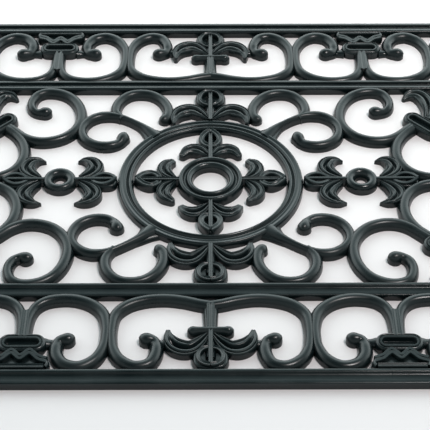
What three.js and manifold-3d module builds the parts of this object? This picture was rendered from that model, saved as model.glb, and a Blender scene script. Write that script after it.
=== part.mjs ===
// A moulded rubber door mat, an openwork scroll grille that lies flat on the floor.
// Millimetres, +Z up. The origin is under the middle of the mat, on the floor.
// +X runs along the mat, and +Y runs from the front rail to the back rail.
import * as THREE from "three";
import { mergeVertices } from "three/addons/utils/BufferGeometryUtils.js";
import Module from "manifold-3d";

const wasm = await Module();
wasm.setup();

// The frame: three fleur units and two clasp units between the end rails make the mat's length,
// and the middle panel with a band on each side makes its depth
const FLEUR_UNIT_LENGTH = 155;
const CLASP_UNIT_LENGTH = 132.5;
const PANEL_DEPTH = 244;
const BAND_CLEAR = 74;
const END_PANEL_LENGTH = 113;
const RAIL_WIDTH = 15;
const RAIL_HEIGHT = 6.8;
const INNER_RAIL_WIDTH = 14;

// Gaps between neighbours, and how far a cutting shape runs past what it cuts
const FIT_GAP = 0.3;
const CUT_OVERRUN = 6;

// Scroll bars
const BAR_WIDTH = 10.4;
const BAR_HEIGHT = 7.2;
const BULB_RADIUS = 6;
const BAR_TOP_SHARE = 0.68;
const ROUND_BAR_TOP_SHARE = 0.8;

// Rings and bored hubs
const PALMETTE_LENGTH = 42.3;
const RING_WIDTH = 13.8;
const HUB_BORE_RADIUS = 15.1;
const HUB_WIDTH = 13.5;
const HUB_HEIGHT = 8.2;
const ROSETTE_BORE_RADIUS = 4.8;
const ROSETTE_WIDTH = 8.9;

// Leaves and lobes of the fleurs and palmettes
const LEAF_HEIGHT = 7.4;
const LEAF_WIDTH = 16.5;
const LEAF_SPREAD = 34.3;
const LEAF_RISE = 14;
const SMALL_LEAF_WIDTH = 13.5;
const SMALL_LEAF_SPREAD = 26;
const SMALL_LEAF_RISE = 8.3;
const CURLED_LEAF_WIDTH = 9.4;
const CURLED_LEAF_RISE = 13.5;
const TIP_WIDTH = 1.2;
const LOBE_HEIGHT = 8.4;
const LOBE_WIDTH = 26;
const LOBE_LENGTH = 24;
const POINTED_LOBE_WIDTH = 22;
const POINTED_LOBE_LENGTH = 25;
const SMALL_LOBE_WIDTH = 19.4;
const SMALL_LOBE_LENGTH = 23;
const FAN_LOBE_WIDTH = 25;
const FAN_LEAF_WIDTH = 14;
const STEM_WIDTH = 8.4;
const SMALL_STEM_WIDTH = 6.4;
const FOOT_WIDTH = 12.6;

// Cross-bars, clasps and crowns
const CROSS_BAR_LENGTH = 34.5;
const CROSS_BAR_WIDTH = 8.4;
const CLASP_LENGTH = 37.5;
const CORNER_CLASP_LENGTH = 39.6;
const CLASP_WIDTH = 18;
const CLASP_HEIGHT = 8;
const SLOT_LENGTH = 24;
const SLOT_WIDTH = 5.4;
const SLOT_DEPTH = 2.4;
const CROWN_LENGTH = 42.6;
const CROWN_WIDTH = 18.6;
const CROWN_HEIGHT = 7.8;

// Low ties from an ornament to the loops beside it
const TIE_WIDTH = 8.5;
const TIE_HEIGHT = 4.2;

// How finely curves are stepped
const STEPS_A_SPAN = 1.1;
const END_STEPS = 3;
const RING_SEGMENTS = 40;
const HUB_SEGMENTS = 28;
const ROSETTE_SEGMENTS = 18;

// Sections across a rail and a ring: shares of its width from the middle outwards, and of its height
const RAIL_SECTION_SHARES = [
  [0, 0], [0.035, 0.88], [0.09, 1], [0.29, 1], [0.6, 0.7], [0.78, 0.97], [0.93, 0.97], [0.975, 0.85], [1, 0],
];
const RING_SECTION_SHARES = [
  [0, 0], [0.07, 0.85], [0.16, 1], [0.33, 1], [0.5, 0.78], [0.64, 1], [0.86, 1], [0.94, 0.85], [1, 0],
];
const HUB_SECTION_SHARES = [
  [0, 0], [0.03, 0.7], [0.12, 0.95], [0.24, 1], [0.43, 0.72], [0.6, 0.9], [0.8, 0.92], [0.95, 0.68], [1, 0],
];
const ROSETTE_SECTION_SHARES = [
  [0, 0], [0, 0.75], [0.2, 1.1], [0.45, 1.25], [0.75, 1.1], [0.97, 0.7], [1, 0],
];

// Loop beside a fleur: shares of half the unit's length, and of the clear depth of the band
const FLEUR_LOOP_SHARES = [
  [-0.03, 0.12], [0.107, 0.093], [0.268, 0.046], [0.456, 0.018], [0.671, 0.039], [0.846, 0.113],
  [0.95, 0.239], [0.985, 0.408], [0.98, 0.577], [0.96, 0.732], [0.886, 0.873], [0.732, 0.955],
  [0.597, 0.915], [0.537, 0.775], [0.55, 0.655], [0.626, 0.577],
];

// Loop beside a clasp, in the same shares of its own unit
const CLASP_LOOP_SHARES = [
  [0.018, 0.506], [0.022, 0.41], [0.03, 0.32], [0.052, 0.23], [0.104, 0.134], [0.219, 0.051], [0.393, 0.014],
  [0.582, 0.025],
  [0.771, 0.096], [0.909, 0.218], [0.976, 0.38], [0.983, 0.549], [0.953, 0.704], [0.85, 0.866],
  [0.669, 0.955], [0.495, 0.915], [0.415, 0.789], [0.427, 0.662], [0.519, 0.573],
];

// Arms of a ring scroll: shares of half the panel's depth, across and along
const LOWER_ARM_SHARES = [
  [0.33, 0.41], [0.391, 0.477], [0.485, 0.573], [0.545, 0.62], [0.596, 0.655], [0.664, 0.692], [0.74, 0.715],
  [0.817, 0.71], [0.889, 0.666], [0.934, 0.596], [0.939, 0.519], [0.906, 0.443], [0.843, 0.394],
  [0.774, 0.377], [0.706, 0.386], [0.655, 0.421], [0.637, 0.464],
];
const UPPER_ARM_SHARES = [
  [0.647, 0.672], [0.698, 0.749], [0.698, 0.834], [0.664, 0.906], [0.604, 0.958], [0.528, 0.975],
  [0.443, 0.96], [0.37, 0.906], [0.329, 0.83], [0.323, 0.757], [0.338, 0.694],
];
const LOWER_ARM_WIDTH_SHARES = [
  [0, 1.35], [0.06, 1.35], [0.17, 0.8], [0.25, 0.64], [0.31, 0.74], [0.42, 1.02], [0.58, 0.92], [0.76, 1.02], [1, 1],
];
const UPPER_ARM_WIDTH_SHARES = [[0, 0.7], [0.15, 1.02], [1, 1.02]];

// Corner scrolls: from the corner of the panel back towards the ring, in shares of half its depth
const CORNER_LOOP_SHARES = [
  [0.515, 0.455], [0.587, 0.525], [0.66, 0.563], [0.732, 0.574], [0.806, 0.563], [0.884, 0.526],
  [0.951, 0.455], [0.986, 0.37], [0.991, 0.277], [0.966, 0.17], [0.915, 0.085], [0.847, 0.032],
  [0.77, 0.008], [0.698, 0.013], [0.644, 0.047], [0.615, 0.111], [0.614, 0.174], [0.638, 0.226],
  [0.677, 0.249], [0.721, 0.245],
];
const END_LOOP_SHARES = [
  [0.481, 0.438], [0.545, 0.511], [0.593, 0.6], [0.612, 0.702], [0.6, 0.796], [0.557, 0.881],
  [0.485, 0.94], [0.387, 0.968], [0.277, 0.968], [0.17, 0.936], [0.089, 0.872], [0.052, 0.779],
  [0.056, 0.689], [0.098, 0.626], [0.166, 0.613], [0.217, 0.651], [0.213, 0.706],
];
const LOOP_WIDTH_SHARES = [[0, 1.05], [0.7, 1.05], [0.9, 0.9], [1, 0.9]];

// S scroll of the end panels: shares of half the panel's length, and of half its depth
const END_SCROLL_SHARES = [
  [0.495, 0.417], [0.604, 0.391], [0.604, 0.328], [0.485, 0.289], [0.311, 0.289], [0.165, 0.34],
  [0.03, 0.421], [0.165, 0.502], [0.33, 0.566], [0.549, 0.604], [0.751, 0.664], [0.879, 0.749],
  [0.905, 0.843], [0.797, 0.915], [0.586, 0.948], [0.366, 0.93], [0.229, 0.868], [0.238, 0.783],
  [0.366, 0.736], [0.495, 0.757],
];

// Side leaf: shares of its spread and of its rise, with its width along the way
const LEAF_PATH_SHARES = [
  [0.06, 0.07], [0.27, 0.67], [0.45, 1], [0.64, 1], [0.82, 0.74], [0.94, 0.26], [0.98, -0.41],
];
const LEAF_WIDTH_SHARES = [[0, 0.25], [0.2, 0.62], [0.4, 0.9], [0.55, 1], [0.72, 0.86], [0.88, 0.5], [1, 0]];
const SMALL_LEAF_PATH_SHARES = [[0.08, -0.1], [0.36, 0.75], [0.6, 1], [0.84, 0.75], [1, 0.19]];
const SMALL_LEAF_WIDTH_SHARES = [[0, 0.37], [0.25, 0.81], [0.5, 1], [0.75, 0.81], [1, 0.3]];
const CURLED_LEAF_PATH_SHARES = [
  [0.1, 0], [0.36, 0.69], [0.64, 1], [0.9, 0.81], [0.98, 0.35], [0.86, -0.08],
];
const CURLED_LEAF_WIDTH_SHARES = [[0, 0.55], [0.2, 0.85], [0.4, 1], [0.6, 0.88], [0.8, 0.75], [1, 0.35]];
const FAN_LEAF_PATH_SHARES = [
  [0.05, 0], [0.31, 0.42], [0.56, 0.83], [0.82, 1], [1, 0.71], [0.95, 0.46],
];
const FAN_LEAF_WIDTH_SHARES = [[0, 0.3], [0.2, 0.5], [0.45, 0.9], [0.65, 1], [0.85, 0.75], [1, 0]];

// Lobe: its width along its length, round at both ends or drawn to a point
const LOBE_WIDTH_SHARES = [[0, 0.3], [0.08, 0.6], [0.22, 0.87], [0.45, 1], [0.7, 0.93], [0.9, 0.6], [1, 0.3]];
const POINTED_LOBE_WIDTH_SHARES = [[0, 0.35], [0.2, 0.82], [0.42, 1], [0.65, 0.86], [0.85, 0.5], [1, 0]];

// Zigzag under a crown: shares of half its length, and of its depth from the rail inwards
const CROWN_EDGE_SHARES = [
  [1, 0], [1, 0.3], [0.93, 0.44], [0.78, 0.58], [0.6, 0.68], [0.34, 1], [0, 0.6],
];

// Places along the bands and panels, as shares of the depth that carries them
const FLEUR_JUNCTION_SHARE = 0.52;
const CROSS_BAR_SHARE = 0.475;
const FLEUR_FOOT_SHARE = 0.12;
const CLASP_CENTRE_SHARE = 0.635;
const CORNER_CLASP_SHARES = [0.393, 0.411];
const CLASP_TIE_SHARES = [-0.44, 0.44, 0.62];
const LEAF_TIE_SHARES = [0.36, 0.56, 0.63];
const FAN_JUNCTION_SHARES = [0.345, 0.345];
const ROSETTE_TIP_SHARE = 0.48;

// A corner fan fills the room behind its clasp, and these are shares of that room's side
const FAN_LOBE_LENGTH_SHARE = 1.09;
const FAN_LEAF_SPREAD_SHARE = 0.926;
const FAN_LEAF_RISE_SHARE = 0.594;
const RING_SCROLL_EDGE_SHARE = 0.947;

const panelHalfDepth = PANEL_DEPTH / 2;
const bandInnerEdge = panelHalfDepth + INNER_RAIL_WIDTH;
const railInnerEdge = bandInnerEdge + BAND_CLEAR;
const endRailInnerEdge = (3 * FLEUR_UNIT_LENGTH + 2 * CLASP_UNIT_LENGTH) / 2;
const matLength = 2 * (endRailInnerEdge + RAIL_WIDTH);
const endPanelHalfLength = END_PANEL_LENGTH / 2;
const endPanelAxis = endRailInnerEdge - endPanelHalfLength;
const panelHalfLength = endRailInnerEdge - END_PANEL_LENGTH - INNER_RAIL_WIDTH;
const ringOuterRadius = panelHalfDepth - PALMETTE_LENGTH;
const ringInnerRadius = ringOuterRadius - RING_WIDTH;
const hubOuterRadius = HUB_BORE_RADIUS + HUB_WIDTH;
const rosetteOuterRadius = ROSETTE_BORE_RADIUS + ROSETTE_WIDTH;
const cornerSpan = panelHalfLength - RING_SCROLL_EDGE_SHARE * panelHalfDepth;
const fanRoom = FAN_JUNCTION_SHARES[0] * Math.min(cornerSpan, panelHalfDepth);
const rosetteTip = panelHalfLength - ROSETTE_TIP_SHARE * cornerSpan;

const rubber = new THREE.MeshStandardMaterial({ color: 0x23282a, roughness: 0.55, metalness: 0 });

// A closed geometry as a solid for cutting and joining.
function toSolid(geometry) {
  const bare = geometry.clone();
  bare.deleteAttribute("normal");
  bare.deleteAttribute("uv");
  const merged = mergeVertices(bare, 1e-4);
  const vertProperties = new Float32Array(merged.attributes.position.array);
  const triVerts = new Uint32Array(merged.index.array);
  return new wasm.Manifold(new wasm.Mesh({ numProp: 3, vertProperties, triVerts }));
}

function toGeometry(solid) {
  const made = solid.getMesh();
  const geometry = new THREE.BufferGeometry();
  geometry.setAttribute("position", new THREE.BufferAttribute(new Float32Array(made.vertProperties), made.numProp));
  geometry.setIndex(new THREE.BufferAttribute(new Uint32Array(made.triVerts), 1));
  geometry.computeVertexNormals();
  return geometry;
}

function join(geometries) {
  return geometries.map(toSolid).reduce((whole, next) => whole.add(next));
}

function cut(solid, geometries) {
  return geometries.map(toSolid).reduce((whole, next) => whole.subtract(next), solid);
}

// Keeps what lies inside a clear opening, with the fitting gap to each of its edges.
function fitInside(solid, [x0, x1], [y0, y1]) {
  const height = LOBE_HEIGHT + 2 * CUT_OVERRUN;
  const box = new THREE.BoxGeometry(x1 - x0 - 2 * FIT_GAP, y1 - y0 - 2 * FIT_GAP, height);
  box.translate((x0 + x1) / 2, (y0 + y1) / 2, height / 2 - CUT_OVERRUN);
  return solid.intersect(toSolid(box));
}

// Value at a place along a table of [place, value] pairs, eased between them.
function valueAlong(table, place) {
  let next = table.findIndex(([at]) => at >= place);
  if (next < 1) next = next === 0 ? 1 : table.length - 1;
  const [[from, low], [to, high]] = [table[next - 1], table[next]];
  const share = THREE.MathUtils.clamp((place - from) / (to - from), 0, 1);
  return THREE.MathUtils.lerp(low, high, share);
}

// One bar along a curve on the floor. Its section has drafted sides and a flat top, and it may
// swell to a round bulb at its end, or at both ends.
// grow makes the same bar wider, taller and upright, as the shape that cuts room for it.
function bar({ path, widths, width, height, topShare = BAR_TOP_SHARE, bulb = 0, bothEnds = false, ...finer }) {
  const { stepsASpan = STEPS_A_SPAN, grow = 0 } = finer;
  const curve = new THREE.CatmullRomCurve3(path.map(([x, y]) => new THREE.Vector3(x, y, 0)), false, "centripetal");
  const steps = Math.max(1, Math.round((path.length - 1) * stepsASpan));
  const total = curve.getLength();
  const bottom = grow > 0 ? -CUT_OVERRUN : 0;
  const top = grow > 0 ? LOBE_HEIGHT + CUT_OVERRUN : height;
  const rings = [];
  let run = 0;
  let last = curve.getPoint(0);
  for (let step = 0; step <= steps; step++) {
    const at = curve.getPoint(step / steps);
    run += at.distanceTo(last);
    last = at;
    const plain = (width * valueAlong(widths, step / steps)) / 2;
    const toEnd = Math.max(0, total - run);
    const half = toEnd < bulb ? Math.max(plain, Math.sqrt(bulb * bulb - toEnd * toEnd)) : plain;
    rings.push({ at, along: curve.getTangent(step / steps), half: Math.max(half, TIP_WIDTH / 2) });
  }
  const [start, end] = [rings[0], rings[steps]];
  for (let step = 1; bulb > 0 && step <= END_STEPS; step++) {
    const turn = (step / (END_STEPS + 0.5)) * (Math.PI / 2);
    const reach = bulb * Math.sin(turn);
    const half = bulb * Math.cos(turn);
    rings.push({ at: end.at.clone().addScaledVector(end.along, reach), along: end.along, half });
    if (bothEnds) rings.unshift({ at: start.at.clone().addScaledVector(start.along, -reach), along: start.along, half });
  }
  const points = [];
  for (const { at, along, half } of rings) {
    const across = new THREE.Vector3(-along.y, along.x, 0).normalize();
    const foot = half + grow;
    const crest = grow > 0 ? foot : half * topShare;
    for (const [side, level] of [[foot, bottom], [-foot, bottom], [-crest, top], [crest, top]]) {
      points.push(at.x + across.x * side, at.y + across.y * side, level);
    }
  }
  const faces = [0, 1, 2, 0, 2, 3];
  for (let ring = 0; ring < rings.length - 1; ring++) {
    for (let corner = 0; corner < 4; corner++) {
      const a = ring * 4 + corner;
      const b = ring * 4 + ((corner + 1) % 4);
      faces.push(a, a + 4, b, b, a + 4, b + 4);
    }
  }
  const cap = (rings.length - 1) * 4;
  faces.push(cap, cap + 2, cap + 1, cap, cap + 3, cap + 2);
  const geometry = new THREE.BufferGeometry();
  geometry.setAttribute("position", new THREE.Float32BufferAttribute(points, 3));
  geometry.setIndex(faces);
  return geometry;
}

// A bar of scroll: the places of its path come from shares of two sizes.
function scrollBar(shares, place, options = {}) {
  return bar({
    path: shares.map(place),
    widths: LOOP_WIDTH_SHARES,
    width: BAR_WIDTH,
    height: BAR_HEIGHT,
    bulb: BULB_RADIUS,
    ...options,
  });
}

// Both bars of a mirrored pair, side by side about the local Y axis.
function scrollPair(shares, [halfLength, depth], options) {
  return [1, -1].map((side) => scrollBar(shares, ([x, y]) => [side * x * halfLength, y * depth], options));
}

// A straight bar with round ends, along X about the origin.
function roundedBar(length, width, height, options = {}) {
  const straight = (length - width) / 2;
  return bar({
    path: [[-straight, 0], [straight, 0]],
    widths: [[0, 1], [1, 1]],
    width,
    height,
    topShare: ROUND_BAR_TOP_SHARE,
    bulb: width / 2,
    bothEnds: true,
    stepsASpan: 1,
    ...options,
  });
}

// A ring whose section is given in shares of its width and height.
function ring(inner, outer, height, shares, segments) {
  const closed = [...shares, shares[0]];
  const section = closed.map(([across, up]) => new THREE.Vector2(inner + across * (outer - inner), up * height));
  return new THREE.LatheGeometry(section.reverse(), segments).rotateX(Math.PI / 2);
}

function disc(radius, segments) {
  const height = LOBE_HEIGHT + 2 * CUT_OVERRUN;
  return new THREE.CylinderGeometry(radius, radius, height, segments).rotateX(Math.PI / 2);
}

// A fleur that points along +Y: a stem, two side leaves from the junction and a lobe at the end.
function fleur({ start, junction, lobeLength, end, lobeWidth, lobeWidths, stemWidth, footWidth = stemWidth, leaf }) {
  const straight = { height: LEAF_HEIGHT, stepsASpan: 1 };
  const lobeStart = end - lobeLength;
  const spine = lobeWidths.map(([share]) => [0, lobeStart + lobeLength * share]);
  const widths = lobeWidths.map(([, width], step) => [step / (lobeWidths.length - 1), width]);
  const lobe = bar({ ...straight, path: spine, widths, width: lobeWidth, height: LOBE_HEIGHT });
  const stem = bar({
    ...straight,
    path: [[0, start], [0, lobeStart + lobeLength / 2]],
    widths: [[0, footWidth / stemWidth], [1, 1]],
    width: stemWidth,
  });
  const leaves = [1, -1].map((side) =>
    bar({
      path: leaf.path.map(([x, y]) => [side * x * leaf.spread, junction + y * leaf.rise]),
      widths: leaf.widths,
      width: leaf.width,
      height: LEAF_HEIGHT,
    }),
  );
  return [stem, lobe, ...leaves];
}

const largeLeaf = {
  path: LEAF_PATH_SHARES, widths: LEAF_WIDTH_SHARES, width: LEAF_WIDTH, spread: LEAF_SPREAD, rise: LEAF_RISE,
};
const smallLeaf = {
  path: SMALL_LEAF_PATH_SHARES,
  widths: SMALL_LEAF_WIDTH_SHARES,
  width: SMALL_LEAF_WIDTH,
  spread: SMALL_LEAF_SPREAD,
  rise: SMALL_LEAF_RISE,
};
const curledLeaf = {
  path: CURLED_LEAF_PATH_SHARES,
  widths: CURLED_LEAF_WIDTH_SHARES,
  width: CURLED_LEAF_WIDTH,
  spread: SMALL_LEAF_SPREAD,
  rise: CURLED_LEAF_RISE,
};
const fanLeaf = {
  path: FAN_LEAF_PATH_SHARES,
  widths: FAN_LEAF_WIDTH_SHARES,
  width: FAN_LEAF_WIDTH,
  spread: FAN_LEAF_SPREAD_SHARE * fanRoom,
  rise: FAN_LEAF_RISE_SHARE * fanRoom,
};

// A clasp with round ends and a slot sunk in its top, along X about the origin.
function clasp(length) {
  const slot = roundedBar(SLOT_LENGTH, SLOT_WIDTH, CUT_OVERRUN, { topShare: 1 });
  slot.translate(0, 0, CLASP_HEIGHT - SLOT_DEPTH);
  return cut(toSolid(roundedBar(length, CLASP_WIDTH, CLASP_HEIGHT)), [slot]);
}

const mat = new THREE.Group();

function place(name, solid, { x = 0, y = 0, turn = 0, flipX = false, flipY = false } = {}) {
  const mesh = new THREE.Mesh(solid.isBufferGeometry ? solid : toGeometry(solid), rubber.clone());
  mesh.name = name;
  mesh.position.set(x, y, 0);
  mesh.rotation.z = turn;
  mesh.scale.set(flipX ? -1 : 1, flipY ? -1 : 1, 1);
  mat.add(mesh);
}

const quadrants = [
  { name: "back_right", flipX: false, flipY: false },
  { name: "back_left", flipX: true, flipY: false },
  { name: "front_right", flipX: false, flipY: true },
  { name: "front_left", flipX: true, flipY: true },
];
const ends = [{ name: "right", flipX: false }, { name: "left", flipX: true }];
const sides = [{ name: "back", flipY: false }, { name: "front", flipY: true }];

// Rails: a double bead with a cove between, extruded along +X with its outer edge towards +Y.
function rail(length, width) {
  const section = new THREE.Shape(RAIL_SECTION_SHARES.map(([u, v]) => new THREE.Vector2(u * width, v * RAIL_HEIGHT)));
  const geometry = new THREE.ExtrudeGeometry(section, { depth: length, bevelEnabled: false });
  geometry.translate(0, 0, -length / 2);
  const [x, y, z] = [new THREE.Vector3(0, 1, 0), new THREE.Vector3(0, 0, 1), new THREE.Vector3(1, 0, 0)];
  return geometry.applyMatrix4(new THREE.Matrix4().makeBasis(x, y, z));
}

function addRails() {
  for (const { name, flipY } of sides) {
    const side = flipY ? -1 : 1;
    place(`${name}_rail`, rail(matLength, RAIL_WIDTH), { y: side * railInnerEdge, flipY });
    const innerLength = 2 * (endRailInnerEdge - FIT_GAP);
    place(`inner_${name}_rail`, rail(innerLength, INNER_RAIL_WIDTH), { y: side * panelHalfDepth, flipY });
  }
  for (const { name, flipX } of ends) {
    const side = flipX ? -1 : 1;
    const turn = (-side * Math.PI) / 2;
    place(`${name}_rail`, rail(2 * (railInnerEdge - FIT_GAP), RAIL_WIDTH), { x: side * endRailInnerEdge, turn });
    const crossLength = 2 * (panelHalfDepth - FIT_GAP);
    place(`${name}_cross_rail`, rail(crossLength, INNER_RAIL_WIDTH), { x: side * panelHalfLength, turn });
  }
}

// Medallion: the ring, the bored hub and the four fleurs between them.
function addMedallion() {
  place("medallion_ring", ring(ringInnerRadius, ringOuterRadius, RAIL_HEIGHT, RING_SECTION_SHARES, RING_SEGMENTS));
  place("hub_ring", ring(HUB_BORE_RADIUS, hubOuterRadius, HUB_HEIGHT, HUB_SECTION_SHARES, HUB_SEGMENTS));
  const shapes = fleur({
    start: hubOuterRadius - FIT_GAP,
    junction: hubOuterRadius + SMALL_STEM_WIDTH / 2,
    end: ringInnerRadius + FIT_GAP,
    lobeLength: POINTED_LOBE_LENGTH,
    lobeWidth: POINTED_LOBE_WIDTH,
    lobeWidths: POINTED_LOBE_WIDTH_SHARES,
    stemWidth: SMALL_STEM_WIDTH,
    leaf: smallLeaf,
  });
  const ringOpening = toSolid(disc(ringInnerRadius - FIT_GAP, RING_SEGMENTS));
  const fitted = cut(join(shapes), [disc(hubOuterRadius + FIT_GAP, HUB_SEGMENTS)]).intersect(ringOpening);
  ["back", "left", "front", "right"].forEach((name, quarter) =>
    place(`hub_fleur_${name}`, fitted, { turn: (quarter * Math.PI) / 2 }),
  );
}

// Scrolls of the middle panel, in its back right quadrant. Each of these makes fresh bars,
// so that the same shape can stand as a piece and, grown by the gap, cut room in its neighbours.
const growth = { grow: FIT_GAP };
const inPanel = ([x, y]) => [x * panelHalfDepth, y * panelHalfDepth];
const fromCorner = ([x, y]) => [panelHalfLength - x * cornerSpan, panelHalfDepth - y * panelHalfDepth];
const ringScroll = (options) => [
  scrollBar(LOWER_ARM_SHARES, inPanel, { widths: LOWER_ARM_WIDTH_SHARES, ...options }),
  scrollBar(UPPER_ARM_SHARES, inPanel, { widths: UPPER_ARM_WIDTH_SHARES, ...options }),
];
const cornerScroll = (options) =>
  [CORNER_LOOP_SHARES, END_LOOP_SHARES].map((shares) => scrollBar(shares, fromCorner, options));
const ringRoom = () => disc(ringOuterRadius + FIT_GAP, RING_SEGMENTS);

function mirrored(geometries, [x, y]) {
  const solid = join(geometries).mirror([x, y, 0]);
  return toGeometry(solid);
}

function addRingScrolls() {
  const cleared = cut(join(ringScroll()), [ringRoom()]);
  const fitted = fitInside(cleared, [0, panelHalfLength], [0, panelHalfDepth]);
  for (const { name, ...flips } of quadrants) place(`ring_scroll_${name}`, fitted, flips);
}

// Corner work: the C scroll with its partner, the clasp over their foot and the fan behind it.
function addCorners() {
  const diagonal = Math.PI / 4;
  const toCorner = (geometry, shares) => {
    const [x, y] = fromCorner(shares);
    return geometry.rotateZ(-diagonal).translate(x, y, 0);
  };
  const room = toCorner(roundedBar(CORNER_CLASP_LENGTH, CLASP_WIDTH, CLASP_HEIGHT, growth), CORNER_CLASP_SHARES);
  const middle = [-FIT_GAP / 2, panelHalfDepth];
  const scroll = cut(join(cornerScroll()), [room, ...ringScroll(growth)]);
  const slotted = toSolid(toCorner(toGeometry(clasp(CORNER_CLASP_LENGTH)), CORNER_CLASP_SHARES));
  const shapes = fleur({
    start: -STEM_WIDTH,
    junction: 0,
    end: fanRoom * Math.SQRT2,
    lobeLength: FAN_LOBE_LENGTH_SHARE * fanRoom,
    lobeWidth: FAN_LOBE_WIDTH,
    lobeWidths: LOBE_WIDTH_SHARES,
    stemWidth: STEM_WIDTH,
    footWidth: FOOT_WIDTH,
    leaf: fanLeaf,
  });
  const fan = cut(join(shapes.map((shape) => toCorner(shape, FAN_JUNCTION_SHARES))), [room]);
  const pieces = { corner_scroll: scroll, corner_clasp: slotted, corner_fan: fan };
  for (const [piece, solid] of Object.entries(pieces)) {
    const fitted = fitInside(solid, [0, panelHalfLength], middle);
    for (const { name, ...flips } of quadrants) place(`${piece}_${name}`, fitted, flips);
  }
}

// Palmette between the ring and an inner rail, on the mat's short axis.
function addPalmettes() {
  const shapes = fleur({
    start: ringOuterRadius,
    junction: ringOuterRadius,
    end: panelHalfDepth,
    lobeLength: LOBE_LENGTH,
    lobeWidth: LOBE_WIDTH,
    lobeWidths: LOBE_WIDTH_SHARES,
    stemWidth: STEM_WIDTH,
    leaf: largeLeaf,
  });
  const arms = ringScroll(growth);
  const cleared = cut(join(shapes), [ringRoom(), ...arms, mirrored(arms, [1, 0])]);
  const fitted = fitInside(cleared, [-panelHalfLength, panelHalfLength], [0, panelHalfDepth]);
  for (const { name, flipY } of sides) place(`palmette_${name}`, fitted, { flipY });
}

// A small bored boss with a fleur both ways along X.
function rosette(reach) {
  const arm = () =>
    fleur({
      start: (ROSETTE_BORE_RADIUS + rosetteOuterRadius) / 2,
      junction: rosetteOuterRadius + SMALL_STEM_WIDTH / 2,
      end: reach,
      lobeLength: SMALL_LOBE_LENGTH,
      lobeWidth: SMALL_LOBE_WIDTH,
      lobeWidths: LOBE_WIDTH_SHARES,
      stemWidth: SMALL_STEM_WIDTH,
      leaf: curledLeaf,
    });
  const arms = [1, -1].flatMap((side) => arm().map((shape) => shape.rotateZ((-side * Math.PI) / 2)));
  const boss = ring(ROSETTE_BORE_RADIUS, rosetteOuterRadius, RAIL_HEIGHT, ROSETTE_SECTION_SHARES, ROSETTE_SEGMENTS);
  return cut(join([boss, ...arms]), [disc(ROSETTE_BORE_RADIUS, ROSETTE_SEGMENTS)]);
}

function addSideRosettes() {
  const centre = (ringOuterRadius + rosetteTip) / 2;
  const scrolls = cornerScroll(growth);
  const standing = rosette((rosetteTip - ringOuterRadius) / 2).translate([centre, 0, 0]);
  const cleared = cut(standing, [ringRoom(), ...scrolls, mirrored(scrolls, [0, 1])]);
  for (const { name, flipX } of ends) place(`side_rosette_${name}`, cleared, { flipX });
}

// Bands: five units on each long side, each a mirrored pair of scrolls with an ornament between.
const loopsOf = {
  fleur: { length: FLEUR_UNIT_LENGTH, shares: FLEUR_LOOP_SHARES },
  clasp: { length: CLASP_UNIT_LENGTH, shares: CLASP_LOOP_SHARES },
};

function bandScrolls(kind, options) {
  const { length, shares } = loopsOf[kind];
  return scrollPair(shares, [length / 2, BAND_CLEAR], options);
}

// A low tie along X in a band unit: where it starts and ends, and how far into the band it lies.
function tie([from, to, inwards], halfLength) {
  const [start, end] = [from * halfLength, to * halfLength];
  return roundedBar(end - start, TIE_WIDTH, TIE_HEIGHT).translate((start + end) / 2, inwards * BAND_CLEAR, 0);
}

function bandFleur() {
  const barHeight = CROSS_BAR_SHARE * BAND_CLEAR;
  const shapes = fleur({
    start: FLEUR_FOOT_SHARE * BAND_CLEAR,
    junction: FLEUR_JUNCTION_SHARE * BAND_CLEAR,
    end: BAND_CLEAR,
    lobeLength: LOBE_LENGTH,
    lobeWidth: LOBE_WIDTH,
    lobeWidths: LOBE_WIDTH_SHARES,
    stemWidth: STEM_WIDTH,
    footWidth: FOOT_WIDTH,
    leaf: largeLeaf,
  });
  const crossBar = roundedBar(CROSS_BAR_LENGTH, CROSS_BAR_WIDTH, BAR_HEIGHT).translate(0, barHeight, 0);
  const [near, far, inwards] = LEAF_TIE_SHARES;
  const ties = [[near, far, inwards], [-far, -near, inwards]].map((shares) => tie(shares, FLEUR_UNIT_LENGTH / 2));
  return cut(join([...shapes, crossBar, ...ties]), bandScrolls("fleur", growth));
}

function bandClasp() {
  const centre = CLASP_CENTRE_SHARE * BAND_CLEAR;
  const right = CROWN_EDGE_SHARES.map(([u, v]) => [(u * CROWN_LENGTH) / 2, BAND_CLEAR - v * CROWN_WIDTH]);
  const left = right.slice(0, -1).map(([x, y]) => [-x, y]);
  const outline = [...left, ...right.reverse()].map(([x, y]) => new THREE.Vector2(x, y));
  const crown = new THREE.ExtrudeGeometry(new THREE.Shape(outline), { depth: CROWN_HEIGHT, bevelEnabled: false });
  const slotted = clasp(CLASP_LENGTH).translate([0, centre, 0]);
  const room = bandScrolls("clasp", growth);
  const across = tie(CLASP_TIE_SHARES, CLASP_UNIT_LENGTH / 2);
  return cut(join([crown, across]).add(slotted), room);
}

function addBands() {
  const kinds = ["fleur", "clasp", "fleur", "clasp", "fleur"];
  const ornaments = { fleur: bandFleur(), clasp: bandClasp() };
  const fitted = {};
  for (const kind of Object.keys(loopsOf)) {
    const reach = (loopsOf[kind].length + FIT_GAP) / 2;
    const inCell = (solid) => toGeometry(fitInside(solid, [-reach, reach], [0, BAND_CLEAR]));
    fitted[kind] = { scrolls: inCell(join(bandScrolls(kind))), ornament: inCell(ornaments[kind]) };
  }
  for (const { name, flipY } of sides) {
    const y = (flipY ? -1 : 1) * bandInnerEdge;
    let start = -endRailInnerEdge;
    kinds.forEach((kind, unit) => {
      const x = start + loopsOf[kind].length / 2;
      place(`${name}_band_scrolls_${unit + 1}`, fitted[kind].scrolls, { x, y, flipY });
      place(`${name}_band_${kind}_${unit + 1}`, fitted[kind].ornament, { x, y, flipY });
      start += loopsOf[kind].length;
    });
  }
}

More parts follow.
